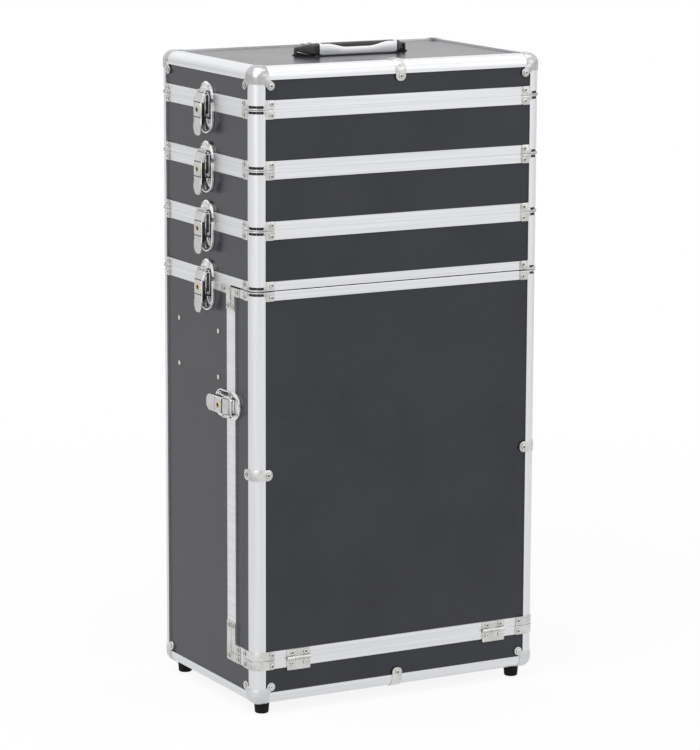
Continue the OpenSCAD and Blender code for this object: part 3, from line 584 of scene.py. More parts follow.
drawerPlastic = makePlastic("drawerPlastic", (0.045, 0.045, 0.048), (0.06, 0.06, 0.064), (0.4, 0.55),
                            1100, 0.35)
handleBlack = makePlastic("handleBlack", (0.008, 0.008, 0.009), (0.016, 0.016, 0.017), (0.3, 0.42),
                          1300, 0.25)
handleSilver = makeBrushed("handleSilver", (0.6, 0.605, 0.62), (0.75, 0.755, 0.77), (0.26, 0.38), 1500)

finishes = {"laminate": laminate, "aluminium_profile": profile, "nickel_plate": nickel,
            "bright_cap": brightCap, "cap_metal": castCap, "latch_chrome": latchChrome,
            "foot_rubber": rubber, "drawer_plastic": drawerPlastic, "handle_silver": handleSilver,
            "handle_black": handleBlack}
slotOf = {part["node"]: part["material_slot"] for part in frame["record"]["subparts"]}
for nodeName, thing in frame["nodes"].items():
    paint(thing, finishes[slotOf[nodeName]])
print("finishes made:", len(bpy.data.materials))


# Rivets: an eyelet has a hollow in its head, a dome has a small dot; the hollow, the dot and a ring round
# the head's foot are painted dark as shade

rivet = {
    "radius": 2.9,
    "height": 1.1,
    # the rest are shares of the radius, or of the height where something rises
    "hollow": 0.52,    # the eyelet's hollow
    "dot": 0.28,       # the dome's dot
    "crown": 0.64,     # where the flat of the head starts
    "narrowest": 0.02,
    "side": 0.4,       # how high the head's straight side is
    "shoulders": ((0.12, 0.35), (0.24, 0.25)),
    "sink": (0.08, -0.5),
    "hollowEdge": 1.02,   # the hollow is painted in shade up to this share of its own radius
    "lip": 0.85,          # and up to this height
    "shaded": 0.9,        # the head's foot is painted in shade from here outwards, as a contact shadow
}


def makeRivet(eyelet=True):
    radius, height = rivet["radius"], rivet["height"]
    hole = rivet["hollow"] if eyelet else rivet["dot"]
    side = height * rivet["side"]
    flat = max(rivet["narrowest"], rivet["crown"] - hole)
    head = addRod((0, 0, side / 2), radius, side, sides=24)
    steps = (*rivet["shoulders"], (flat, 0), rivet["sink"])
    stepFaces(head, isTop, *((radius * inwards, height * upwards) for inwards, upwards in steps))
    paint(head, rivetNickel, rivetPaintedShade if eyelet else holePaintedShade, rivetPaintedShade)
    sunk, shaded, lip = radius * hole * rivet["hollowEdge"], radius * rivet["shaded"], height * rivet["lip"]
    # the hollow or the dot, and a ring round the head's foot, are painted in shade
    paintFaces(head, 1, lambda centre, normal: centre.xy.length < sunk and slack < centre.z < lip)
    paintFaces(head, 2, lambda centre, normal: centre.xy.length > shaded)
    return head


eyelet = makeRivet()
dome = makeRivet(eyelet=False)


def rivetOn(place, outward, model=eyelet):  # a rivet standing on a plate
    up = Vector((0, 0, 1)) if abs(outward[2]) < 0.5 else Vector((0, 1, 0))
    outward = Vector(outward)
    return copied(model, axes(up.cross(outward), up, outward, place))


# Corner brackets, pressed from sheet and bent round a corner

bracket = {
    "reach": 25.5,       # from the case's corner to the end of a wing
    "height": 10.6,
    "ring": 1.6,         # height of the part that runs round the corner
    "plate": 1.0,
    "fold": 4.0,         # width of the pressed fold beside the post
    "foldDepth": 0.95,
    "seamGap": 0.3,      # between the bracket and the seam line
    "endRound": 2.2,
    "edgeRound": 0.2,
    "rivetAt": 21.8,
    "rivetUp": 6.36,
    "shoulder": 2.4,     # metal left at each end of the open slot over the post
    "slot": 4.4,         # height of that slot
    "shoulderLap": (0.3, 0.6, 0.4),   # how far the shoulder goes into the post, the panel and the ring
    "shoulderProud": 0.35,
}


def bentLine(wingEnds):  # an open line round the corner at the origin and along both wings
    radius = case["edgeRound"]
    clearSelection()
    bpy.ops.mesh.primitive_circle_add(vertices=48, radius=radius * mm, fill_type="NOTHING",
                                      location=(-radius * mm, -radius * mm, 0))
    line = freeze(bpy.context.object)
    pickPoints(line, lambda place: place.x < -radius - 0.01 or place.y < -radius - 0.01)
    bpy.ops.mesh.delete(type="VERT")
    leaveEdit()
    for along in ((1, 0), (0, 1)):
        before = radius
        for end in wingEnds:
            at = (-before * along[0], -before * along[1])
            pickPoints(line, lambda place: abs(place.x - at[0]) < 0.01 and abs(place.y - at[1]) < 0.01)
            pull(-(end - before) * along[0], -(end - before) * along[1], 0)
            leaveEdit()
            before = end
    return line


def swapSides(part):  # mirrors a part of a corner piece from one wing to the other
    part.data.transform(axes((0, 1, 0), (1, 0, 0), (0, 0, 1)))
    part.data.flip_normals()


def wingShare(place):  # how far a point lies from the corner along its wing
    return max(-place.x, -place.y)


def riveted(parts, at, up):  # joins a corner piece with a rivet on each of its wings
    out = bracket["plate"]
    return joined(parts + [rivetOn((-at, out, up), (0, 1, 0)), rivetOn((out, -at, up), (1, 0, 0))])


def makeBracket(wrapped):
    height, ring, post = bracket["height"], bracket["ring"], case["edge"]
    strip = bentLine((post, post + bracket["fold"], bracket["reach"]))
    editing(strip, "EDGE")
    bpy.ops.mesh.select_all(action="SELECT")
    shift(0, 0, bracket["seamGap"])
    pull(0, 0, ring - bracket["seamGap"])
    leaveEdit()
    pickEdges(strip, lambda mid, along: mid.z > ring - slack and abs(along.z) < slack
              and (wrapped or wingShare(mid) > post))
    pull(0, 0, height - ring)
    leaveEdit()
    if not wrapped:
        for x, y in ((0, 1), (1, 0)):   # presses the fold in beside the post
            pickPoints(strip, lambda place: place.z > height - slack and (place.x if x else place.y) > -1
                       and abs(wingShare(place) - post) < slack)
            shift(-bracket["foldDepth"] * x, -bracket["foldDepth"] * y, 0)
            leaveEdit()
    wingEnd = bracket["reach"] - slack
    pickPoints(strip, lambda place: place.z > height - slack and wingShare(place) > wingEnd)
    bevelPicked(bracket["endRound"], affect="VERTICES")
    bpy.ops.mesh.select_all(action="SELECT")
    bpy.ops.mesh.quads_convert_to_tris()
    leaveEdit()
    faceAway(strip, (-case["edgeRound"], -case["edgeRound"], height / 2))
    thicken(strip, bracket["plate"])
    parts = [roundEdges(strip, bracket["edgeRound"])]
    intoPost, intoPanel, intoRing = bracket["shoulderLap"]
    for flip in () if wrapped else (False, True):
        shoulder = addBox((-post - intoPost, -intoPanel, ring - intoRing),
                          (-post + bracket["shoulder"], bracket["shoulderProud"], bracket["slot"]))
        parts.append(roundEdges(shoulder, bracket["edgeRound"]))
        if flip:
            swapSides(shoulder)
    for part in parts:
        paint(part, nickel)
    return riveted(parts, bracket["rivetAt"], bracket["rivetUp"])


def atCorner(sideX, sideY, z, up):  # turns a piece made at the corner (+x, +y) to any corner, up or down
    a, b = Vector((sideX, 0, 0)), Vector((0, sideY, 0))
    if a.cross(b).z * up < 0:
        a, b = b, a
    return axes(a, b, a.cross(b), (sideX * case["halfX"], sideY * case["halfY"], z))


plainBracket = makeBracket(False)
wrappedBracket = makeBracket(True)
print("corner brackets modelled")


# Straps over the edge profiles, with a round riveted tab on each side

strap = {
    "width": 12.6,
    "reach": 22.8,       # from the edge it clips over to the end of a tab
    "rivetAt": 17.4,
    "endRound": 5.4,
    "edgeRound": 0.22,
    "tabShort": 0.6,     # how much shorter the tab on the panel is than the strap
    "tabNarrow": 1.2,    # how much narrower it is on each side
    "tabRound": 4.0,
    "tabLap": 0.1,
}


def makeStrap():
    half, reach, edge = strap["width"] / 2, strap["reach"], case["edge"]
    band = bentLine((edge, reach))
    editing(band, "EDGE")
    bpy.ops.mesh.select_all(action="SELECT")
    pull(0, 0, strap["width"])
    bpy.ops.mesh.select_all(action="SELECT")
    shift(0, 0, -half)
    leaveEdit()
    pickPoints(band, lambda place: wingShare(place) > reach - slack)
    bevelPicked(strap["endRound"], 8, "VERTICES")
    leaveEdit()
    faceAway(band, (-case["edgeRound"], -case["edgeRound"], 0))
    thicken(band, bracket["plate"])
    parts = [roundEdges(band, strap["edgeRound"])]
    tabHalf, tabEnd = half - strap["tabNarrow"], -reach + strap["tabShort"]
    for flip in (False, True):    # the tab stands on the panel beyond the profile
        foot = addBox((tabEnd, -case["skin"], -tabHalf), (-edge, strap["tabLap"], tabHalf))
        bevelEdges(foot, lying("y", lambda mid: mid.x < -edge - 1), strap["tabRound"], 6)
        if flip:
            swapSides(foot)
        parts.append(foot)
    for part in parts:
        paint(part, nickel)
    return riveted(parts, strap["rivetAt"], 0)


edgeStrap = makeStrap()


def alongEdge(sideY, z, up):  # turns the strap to a horizontal edge, at the middle of the case
    a, b = Vector((0, 0, up)), Vector((0, sideY, 0))
    if a.cross(b).x < 0:
        a, b = b, a
    return axes(a, b, a.cross(b), (0, sideY * case["halfY"], z))


# L-shaped brackets on the side faces, beside the door's seam

ell = {
    "gap": 0.4,         # from the seam to the bracket
    "width": 10.2,      # from the seam to its inner edge
    "arm": 22.0,
    "drop": 28.0,       # leg beside the top seam
    "rise": 36.0,       # leg beside the tub's seam
    "plate": 1.0,
    "round": 1.6,
    "edgeRound": 0.2,
}


def makeEll(leg, outside):  # arm along x, leg along y; outside puts the plate beyond the corner
    gap, width, arm = ell["gap"], ell["width"], ell["arm"]
    start, end = (-width, -gap) if outside else (gap, width)
    plate = addBox((start, start, 0), (end, end, ell["plate"]))
    pullFaces(plate, facing(1, 0, 0), arm - end, 0, 0)
    pullFaces(plate, lambda centre, normal: normal.y > squarely and centre.x < end, 0, leg - end, 0)
    bevelEdges(plate, lying("z", lambda mid: mid.x > arm - slack or mid.y > leg - slack), ell["round"])
    paint(roundEdges(plate, ell["edgeRound"]), nickel)
    middle = (start + end) / 2
    spots = [(arm - width / 2, middle), (middle, leg - width / 2)]
    if outside:
        spots.append((middle, middle))
    return joined([plate] + [rivetOn((x, y, ell["plate"]), (0, 0, 1)) for x, y in spots])


topEll = makeEll(ell["drop"], False)
tubEll = makeEll(ell["rise"], False)
outerEll = makeEll(ell["rise"], True)


def onSide(side, arm, leg, y, z):  # arm and leg are world directions of an L bracket on a side face
    return axes(arm, leg, (side, 0, 0), (side * case["halfX"], y, z))


print("straps and L brackets modelled")


# Latches. Inside one, x runs sideways, y runs over the seam and z points away from the case.

latch = {
    "width": 32.0,
    "leverPin": (-2.8, 6.0),   # over the seam, away from the case
    "clawPin": (-15.0, 5.0),
    "cheekIn": 10.0,           # the base's cheeks and the claw's arms lie between these
    "cheekOut": 12.5,
    "rimLap": 0.1,             # between the rim and the block under a round plate
}


def roundPlate(start, end, low, high):  # a plate from start to its round end, along +y
    radius = latch["width"] / 2
    plate = addRod((0, end - radius, (low + high) / 2), radius, high - low, sides=64)
    cut = max(start, end - radius)
    cutAway(plate, (0, cut, 0), (0, 1, 0))
    if cut > start:
        pullFaces(plate, facing(0, -1, 0), 0, start - cut, 0)
    return plate


def plateFoot(end):  # the block under a round plate, down to the panel beyond the rim
    return roundPlate(case["rim"] + latch["rimLap"], end, -case["skin"], 0)


def acrossPair(side):  # from and to of a cheek or an arm on one side, along x
    return sorted((side * latch["cheekIn"], side * latch["cheekOut"]))


def makeScrew(x, y, z, size=0.8):  # a ring-like round screw
    return copied(eyelet, Matrix.Translation((x * mm, y * mm, z * mm)) @ Matrix.Scale(size, 4))


def standUp(ear, axisZ, floorZ):  # cuts a rod at its axis and draws its lower half down to the floor
    cutAway(ear, (0, 0, axisZ), (0, 0, 1))
    pickFaces(ear, facing(0, 0, -1))
    pull(0, 0, floorZ - axisZ)


base = {
    "start": 1.0,
    "end": 37.0,           # from the seam to the round end
    "plate": 1.2,
    "sunk": 0.3,           # how far the floor lies under the plate's top
    "rim": 0.9,            # height of the pressed rim
    "rimWidth": 1.3,
    "rimSlope": 0.5,       # width of its flanks
    "soft": 0.25,          # how much edges are rounded
    "cheekSoft": 0.5,
    "cheek": (19, 31, 7),  # from, to and top
    "cheekSlope": (4, 3.5),
    "saddle": ((-7.8, 1.2), (7.8, 5.8), 2.8),
    "earAt": 7.05,
    "earRadius": 3,
    "earPlate": 1.5,
    "screwAt": 31,
}


def makeLatchBase():
    plate = roundPlate(base["start"], base["end"], 0, base["plate"])
    slope, rise = base["rimSlope"], base["rim"]
    stepFaces(plate, isTop, (slope, rise), (base["rimWidth"], 0), (slope, -rise - base["sunk"]))
    paint(plate, latchChrome, latchPaintedShade)
    floorTop = base["plate"] - base["sunk"]
    # the recess floor is painted in shade
    paintFaces(plate, 1, lambda centre, normal: isTop(centre, normal)
               and abs(centre.z - floorTop) < slack / 2)
    metal = [plateFoot(base["end"])]
    low, high, top = base["saddle"]
    metal.append(addBox((*low, base["plate"]), (*high, top)))
    start, end, top = base["cheek"]
    for side in (-1, 1):
        inner, outer = acrossPair(side)
        cheek = addBox((inner, start, floorTop), (outer, end, top))
        pickEdges(cheek, lying("x", lambda mid: mid.z > top - 1 and mid.y > end - 1))
        shift(0, -base["cheekSlope"][0], -base["cheekSlope"][1])
        leaveEdit()
        metal.append(roundEdges(cheek, base["cheekSoft"]))
    overSeam, away = latch["leverPin"]
    for side in (-1, 1):
        ear = addRod((side * base["earAt"], -overSeam, away), base["earRadius"], base["earPlate"], "x")
        standUp(ear, away, base["plate"])
        leaveEdit()
        metal.append(ear)
    for thing in metal:
        paint(roundEdges(thing, base["soft"]), latchChrome)
    made = joined([plate, makeScrew(0, base["screwAt"], floorTop)] + metal)
    made.data.transform(Matrix.Rotation(math.pi, 4, "Z"))
    return made


strike = {
    "start": 3.06,
    "end": 22.0,
    "plate": 0.5,
    "steps": ((0.5, 0.5), (0.9, 0.45), (1.6, 0.4), (2.4, 0.25)),   # the domed top: inwards and up
    "rib": ((-8, 7, 1), (8, 10, 3.0)),
    "ribRound": 1.3,
    "ribSoft": 0.5,
    "footSoft": 0.3,
    "screwAt": (7.5, 16.5, 1.35),
}


def makeStrike():
    plate = roundPlate(strike["start"], strike["end"], 0, strike["plate"])
    stepFaces(plate, isTop, *strike["steps"])
    rib = addBox(*strike["rib"])
    bevelEdges(rib, lying("z"), strike["ribRound"])
    foot = roundEdges(plateFoot(strike["end"]), strike["footSoft"])
    parts = [plate, foot, roundEdges(rib, strike["ribSoft"])]
    for thing in parts:
        paint(thing, latchChrome)
    x, y, z = strike["screwAt"]
    return joined(parts + [makeScrew(side * x, y, z) for side in (-1, 1)])


lever = {
    "width": 19.0,
    "top": 12.0,
    "wall": 1.4,
    "depth": 3,              # how far the channel's sides reach under the pin
    "channelStart": -0.5,
    "flangeEnd": -26.5,
    "flangeCut": (5, 2.2),   # slope of the sides' far ends
    "fold": 0.7,             # rounding of the channel's folds
    "shadeFrom": 0.9,        # under the top, where the channel's sides are in shade
    "soft": 0.2,
    "lockAt": -9.5,
    "lockStart": -1.5,
    "lockEnd": -17.3,
    "lockHalf": 8.1,
    "lockRound": 2.0,
    "lockStep": (0.35, 0.35),   # these steps go inwards and up, or out of a pin's end
    "jointHalf": 8.3,
    "jointWidth": 1.3,
    "jointLap": (0.1, 0.2),  # how far the joints go under the lock plate's end and start
    "tabWidth": 14.4,
    "tabStart": (1.1, 3),    # where the tab starts and widens, beyond the lock plate's end
    "tabRound": 1.2,
    # the tab widens and narrows again: the end of each stretch and its width there
    "tab": ((-23.0, 15.6), (-27.0, 19.0), (-31.5, 18.6), (-35.5, 14.6), (-38.4, 8.6)),
    "tabStep": (0.5, 0.35),
    "plugRadius": 3.3,
    "plugSteps": ((0.5, 0.25), (0.5, -0.45)),
    "slit": (0.45, 1.9),     # half its width and length
    "pinRadius": 1.45,
    "pinStep": (0.35, 0.15),
    "pinOut": (0.3, 0.25),   # how far the lever's pin and the claw's stand out
    # heights above the channel's top, from and to
    "channelTop": -0.3,
    "lockRise": (-0.5, 0.15),
    "plugRise": (0.2, 0.7),
    "slitRise": (0.3, 0.62),
    "jointRise": (-0.5, -0.05),
    "tabRise": (-1.4, 0.1),
}


def makeChannel(half, top):  # the lever's folded body, open below and at both ends
    pinZ, start, end = latch["leverPin"][1], lever["channelStart"], lever["flangeEnd"]
    channel = addBox((-half, end, pinZ - lever["depth"]), (half, start, top + lever["channelTop"]))
    pickFaces(channel, lambda centre, normal: normal.z < -squarely or abs(normal.y) > squarely)
    bpy.ops.mesh.delete(type="FACE")
    leaveEdit()
    bevelEdges(channel, lying("y", lambda mid: mid.z > top - 1), lever["fold"], 3)
    pickPoints(channel, lambda place: place.y < end + slack and place.z < pinZ)
    shift(0, *lever["flangeCut"])
    leaveEdit()
    faceAway(channel, (0, (start + end) / 2, 0))
    thicken(channel, lever["wall"], -1)
    paint(roundEdges(channel, lever["soft"]), latchChrome, latchPaintedShade)
    shaded = top - lever["shadeFrom"]
    # the channel's sides under the top are painted in shade
    paintFaces(channel, 1, lambda centre, normal: isEnd(centre, normal) and centre.z < shaded)
    return channel


def blockOn(top, rise, half, start, end):  # a block as wide as twice the half, between two heights
    low, high = lever[rise]
    return addBox((-half, start, top + low), (half, end, top + high))


def makeLockPlate(top):  # with a strip of painted shade in the joint at both ends, the lock's plug and its slit, which is painted dark as the keyhole's shade
    start, end, at = lever["lockStart"], lever["lockEnd"], lever["lockAt"]
    plate = blockOn(top, "lockRise", lever["lockHalf"], end, start)
    bevelEdges(plate, lying("z"), lever["lockRound"], 5)
    stepFaces(plate, isTop, lever["lockStep"])
    low, high = lever["plugRise"]
    plug = addRod((0, at, top + (low + high) / 2), lever["plugRadius"], high - low, sides=40)
    stepFaces(plug, isTop, *lever["plugSteps"])
    slitHalf, slitLength = lever["slit"]
    # the slit is a dark block painted as the keyhole's shade
    slit = blockOn(top, "slitRise", slitHalf, at - slitLength, at + slitLength)
    parts = [paint(plate, latchFace), paint(plug, brass), paint(slit, holePaintedShade)]
    width, (endLap, startLap) = lever["jointWidth"], lever["jointLap"]
    # the joints are dark strips that stand in for the shade in the gaps
    for low in (end - width + endLap, start - startLap):
        joint = blockOn(top, "jointRise", lever["jointHalf"], low, low + width)
        parts.append(paint(joint, latchPaintedShade))
    return parts


def makeTab(top):
    start, before = (lever["lockEnd"] - beyond for beyond in lever["tabStart"])
    width = lever["tabWidth"]
    tab = blockOn(top, "tabRise", width / 2, before, start)
    for end, wide in lever["tab"]:
        pickFaces(tab, facing(0, -1, 0))
        pull(0, end - before, 0)
        widen(wide / width, 1, 1, (0, end, top))
        leaveEdit()
        before, width = end, wide
    firstEnd = lever["tab"][0][0]
    bevelEdges(tab, lying("z", lambda mid: mid.y < firstEnd + 1), lever["tabRound"], 3)
    stepFaces(tab, isTop, lever["tabStep"])
    return paint(tab, latchFace)


def makeLever():
    half, top = lever["width"] / 2, lever["top"]
    lockPlate, *lock = makeLockPlate(top)
    parts = [makeChannel(half, top), lockPlate, makeTab(top)] + lock
    leverOut, clawOut = lever["pinOut"]
    for (y, z), reach in ((latch["leverPin"], half + leverOut),
                          (latch["clawPin"], latch["cheekOut"] + clawOut)):
        pin = addRod((0, y, z), lever["pinRadius"], 2 * reach, "x", 24)
        stepFaces(pin, isEnd, lever["pinStep"])
        parts.append(paint(pin, latchChrome))
    return joined(parts)


claw = {
    "hook": 13.8,
    "top": 11.0,
    "plate": 1.6,
    "blockStart": -6,    # where the head's block starts before it is cut
    "start": -0.9,       # where the head is cut off towards its pin
    "round": 7,
    "bands": (0.9, 0.8, 0.8, 0.5),   # widths of the head's rim, its groove, the ridge and the inner groove
    "flank": 0.2,
    "groove": 0.8,       # depth of the grooves round the flat
    "flatRise": 0.3,     # how far the flat stands over them
    "tilt": -18,         # degrees by which the head leans over the strike
    "lip": (5.5, 2.2, 0.9),   # in from the head's sides, and its start and end before the hook
    "lipRise": (2.4, 3.6),    # its foot, and how far its top lies under the head's
    "arm": (2.6, 8.2),   # from and to, away from the case
    "armEnd": 8.5,
    "armRadius": 3.1,
    "armRound": 2.6,
    "armPanel": (0.9, -0.4),
    "post": (7, 0.9),    # its foot, and how far its top lies under the head's
    "postSlope": 2.4,
    "soft": 0.3,
    "armSoft": 0.2,
}


def makeClaw():
    wide, hook, top, groove = latch["cheekOut"], claw["hook"], claw["top"], claw["groove"]
    pinY = latch["clawPin"][0]
    head = addBox((-wide, claw["blockStart"], top - claw["plate"]), (wide, hook, top))
    bevelEdges(head, lying("z", lambda mid: mid.y > 1), claw["round"], 4)
    steps = []
    for band, rise in zip(claw["bands"], (-groove, groove, -groove, groove + claw["flatRise"])):
        steps += [(band, 0), (claw["flank"], rise)]
    stepFaces(head, isTop, *steps)
    paint(head, latchChrome, latchPaintedShade, latchFace)
    grooveZ, flatZ = top - groove, top + claw["flatRise"]
    # the grooves are painted in shade
    paintFaces(head, 1, lambda centre, normal: abs(centre.z - grooveZ) < slack / 2 and normal.z > 0.5)
    paintFaces(head, 2, lambda centre, normal: centre.z > flatZ - slack / 2 and normal.z > 0.5)
    cutAway(head, (0, claw["start"], 0), (0, 1, 0))
    lean = Matrix.Rotation(math.radians(claw["tilt"]), 4, "X")
    head.data.transform(Matrix.Translation((0, 0, top * mm)) @ lean @ Matrix.Translation((0, 0, -top * mm)))
    inwards, start, end = claw["lip"]
    low, under = claw["lipRise"]
    lip = addBox((-wide + inwards, hook - start, low), (wide - inwards, hook - end, top - under))
    parts = [head, paint(roundEdges(lip, claw["soft"]), latchChrome)]
    low, high = claw["arm"]
    for side in (-1, 1):
        inner, outer = acrossPair(side)
        arm = addBox((inner, pinY - claw["armRadius"], low), (outer, claw["armEnd"], high))
        bevelEdges(arm, lying("x", lambda mid: mid.y < pinY), claw["armRound"], 5)
        stepFaces(arm, facing(side, 0, 0), claw["armPanel"])
        paint(roundEdges(arm, claw["armSoft"]), latchChrome, latchPaintedShade)
        panelX = side * (wide + claw["armPanel"][1])
        # the arm's inset panel is painted in shade
        paintFaces(arm, 1, lambda centre, normal: abs(centre.x - panelX) < slack / 2)
        foot, under = claw["post"]
        post = addBox((inner, 0, foot), (outer, claw["armEnd"], top - under))
        pickEdges(post, lying("x", lambda mid: mid.z > foot + 1 and mid.y > 1))
        shift(0, 0, -claw["postSlope"])
        leaveEdit()
        parts += [arm, paint(roundEdges(post, claw["soft"]), latchChrome)]
    return joined(parts)


latchBase = makeLatchBase()
latchStrike = makeStrike()
latchLever = makeLever()
latchClaw = makeClaw()


def latchPlace(leverName):  # a latch stands where its lever turns
    pivot = Vector(jointOf[leverName + "_turn"]["pos_m"]) / mm
    outward = Vector((math.copysign(1, pivot.x), 0, 0))
    over = Vector((0, -1, 0)) if "door" in leverName else Vector((0, 0, 1))
    place = pivot - outward * latch["leverPin"][1] - over * latch["leverPin"][0]
    return axes(over.cross(outward), over, outward, place)


latchesOf = {}   # the base and the strike of each latch, gathered by the body that carries them
strikeBody = {"1": "lid", "2": "tray_1", "3": "tray_2", "4": "tray_3", "door": "door"}
for side in ("left", "right"):
    for number, above in strikeBody.items():
        leverName = f"{side}_door_lever" if number == "door" else f"{side}_lever_{number}"
        clawName = leverName.replace("lever", "claw")
        turn = latchPlace(leverName)
        fit(copied(latchLever, turn), leverName + "_formed", leverName, [leverName])
        fit(copied(latchClaw, turn), clawName + "_formed", clawName, [clawName])
        below = jointOf[leverName + "_turn"]["parent"]
        latchesOf.setdefault(below, []).append(copied(latchBase, turn))
        latchesOf.setdefault(above, []).append(copied(latchStrike, turn))
print("latches modelled:", len(latchesOf), "bodies carry them")


# Fittings gathered by body

def gather(body, brackets):
    node = body + "_fittings"
    fit(joined(brackets), body + "_brackets", body, [node])
    fit(joined(latchesOf[body]), body + "_latch_plates", body, [node])


def atCorners(model, corners, z, up):
    return [copied(model, atCorner(x, y, z, up)) for x, y in corners]


def onSides(model, arm, leg, z):  # an L bracket on each side face, at the door's seam
    return [copied(model, onSide(side, arm, leg, case["doorSeam"], z)) for side in (-1, 1)]


corners = [(x, y) for x in (-1, 1) for y in (-1, 1)]
frontCorners = [(-1, -1), (1, -1)]
backCorners = [(-1, 1), (1, 1)]
backwards, forwards, upwards, downwards = (0, 1, 0), (0, -1, 0), (0, 0, 1), (0, 0, -1)
seams = case["seams"]
for number in (3, 2, 1):
    gather(f"tray_{number}", atCorners(plainBracket, corners, seams[number + 1], 1)
           + atCorners(plainBracket, corners, seams[number], -1))
gather("lid", atCorners(plainBracket, corners, seams[1], 1)
       + [copied(edgeStrap, alongEdge(y, case["top"], 1)) for y in (-1, 1)])

runnerRivets = {
    "alongY": (-26, 74),
    "levels": (431, 378),
}
brackets = [copied(edgeStrap, alongEdge(y, case["base"], -1)) for y in (-1, 1)]
brackets += atCorners(plainBracket, backCorners, seams[4], -1)
brackets += atCorners(wrappedBracket, frontCorners, case["tub"], -1)
brackets += onSides(topEll, backwards, downwards, seams[4])
brackets += onSides(outerEll, forwards, upwards, case["tub"])
panelX = case["halfX"] - case["skin"]
brackets += [rivetOn((side * panelX, y, z), (side, 0, 0), dome)
             for side in (-1, 1) for y in runnerRivets["alongY"] for z in runnerRivets["levels"]]
gather("cabinet", brackets)

postStrapAt = 0.507    # height of the door's post straps, as a share of the door's height
strapZ = case["tub"] + (seams[4] - case["tub"]) * postStrapAt
brackets = atCorners(plainBracket, frontCorners, case["doorTop"], -1)
brackets += atCorners(wrappedBracket, frontCorners, case["tub"], 1)
brackets += atCorners(edgeStrap, frontCorners, strapZ, 1)
brackets += onSides(topEll, forwards, downwards, case["doorTop"])
brackets += onSides(tubEll, forwards, upwards, case["tub"])
gather("door", brackets)
scrap(plainBracket, wrappedBracket, edgeStrap, topEll, tubEll, outerEll)
scrap(latchBase, latchStrike, latchLever, latchClaw)
print("fittings placed")


# Hinges under the door

hinge = {
    "length": 30.0,
    "lowerSpan": (50.9, 62.4),
    "upperSpan": (67.4, 74.9),
    "proud": 1.2,
    "round": 1.6,
    "soft": 0.25,
    "knuckle": 2.2,        # radius
    "knuckleSteps": ((0.35, 0.0), (0.55, -0.25)),   # at its ends, inwards and out
    "knuckleGap": 0.15,
    "neckLap": 0.5,        # how far a knuckle's neck goes into the leaf
    "neckSoft": 0.2,
    "rivetAt": 8.7,
    "rivetRise": 6.12,
}


def makeLeaf(span, knuckleSpans, rivetZ, model):  # a leaf at x = 0 on the front face
    half, faceY = hinge["length"] / 2, -case["halfY"]
    axisY, axisZ = faceY - hinge["proud"], case["tub"]
    low, high = span
    leaf = addBox((-half, axisY, low), (half, faceY, high))
    outer = low if abs(low - axisZ) > abs(high - axisZ) else high
    bevelEdges(leaf, lying("y", lambda mid: abs(mid.z - outer) < slack), hinge["round"])
    parts = [roundEdges(leaf, hinge["soft"])]
    for start, end in knuckleSpans:
        knuckle = addRod(((start + end) / 2, axisY, axisZ), hinge["knuckle"], end - start, "x", 28)
        stepFaces(knuckle, isEnd, *hinge["knuckleSteps"])
        neck = addBox((start, axisY, min(axisZ, high - hinge["neckLap"])),
                      (end, faceY, max(axisZ, low + hinge["neckLap"])))
        parts += [knuckle, roundEdges(neck, hinge["neckSoft"])]
    for part in parts:
        paint(part, nickel)
    spots = [(side * hinge["rivetAt"], axisY, rivetZ) for side in (-1, 1)]
    return joined(parts + [rivetOn(spot, forwards, model) for spot in spots])


halfLength, gap = hinge["length"] / 2, hinge["knuckleGap"]
meet = hinge["length"] / 6     # the middle knuckle takes a third of the hinge
lowerKnuckles = [(-halfLength, -meet - gap), (meet + gap, halfLength)]
upperKnuckle = [(-meet + gap, meet - gap)]
lowerLeaf = makeLeaf(hinge["lowerSpan"], lowerKnuckles, case["tub"] - hinge["rivetRise"], dome)
upperLeaf = makeLeaf(hinge["upperSpan"], upperKnuckle, case["tub"] + hinge["rivetRise"], eyelet)
hingeX = highOf("hinge_upper_leaves").x - halfLength
for model, name, body in ((lowerLeaf, "hinge_lower_leaves", "cabinet"),
                          (upperLeaf, "hinge_upper_leaves", "door")):
    pair = [copied(model, Matrix.Translation((side * hingeX * mm, 0, 0))) for side in (-1, 1)]
    fit(joined(pair), name + "_formed", body, [name])
scrap(lowerLeaf, upperLeaf)
print("hinges modelled")


# Rubber feet

foot = {
    "inset": 19.0,
    "topRadius": 8.8,
    "floorRadius": 7.8,
    "height": 12.2,
    "round": 1.6,
    "hollow": ((2.2, 0), (0.5, -1.5)),   # steps inwards and up, in the underside
}


def makeFoot():
    post = addRod((0, 0, foot["height"] / 2), foot["topRadius"], foot["height"], sides=48)
    pickFaces(post, facing(0, 0, -1))
    share = foot["floorRadius"] / foot["topRadius"]
    widen(share, share, 1, (0, 0, 0))
    leaveEdit()
    bevelEdges(post, lambda mid, along: mid.z < slack, foot["round"], 5)
    stepFaces(post, lambda centre, normal: normal.z < -0.99 and centre.xy.length < 1, *foot["hollow"])
    return paint(post, rubber)


footModel = makeFoot()
feet = []
for x, y in corners:
    place = ((case["halfX"] - foot["inset"]) * x, (case["halfY"] - foot["inset"]) * y, 0)
    feet.append(copied(footModel, Matrix.Translation(Vector(place) * mm)))
fit(joined(feet), "feet_moulded", "cabinet", ["rubber_feet"])
scrap(footModel)


# Corner caps: a rounded shell over the corner with a riveted tab on each side face

cap = {
    "reach": 19.0,        # from the corner to the cap's edge
    "wall": 0.8,
    "tabAt": 21.0,
    "tabRadius": 5.0,
    "tabPlate": 1.0,
    "neckPlate": 0.9,
    "neckLength": 11,
    "brightNeck": 9.4,
    "castNeck": 7.0,
    "soft": 0.2,          # how much the shell's edges are rounded
    "tabSoft": 0.5,
    "neckSoft": 0.4,
}


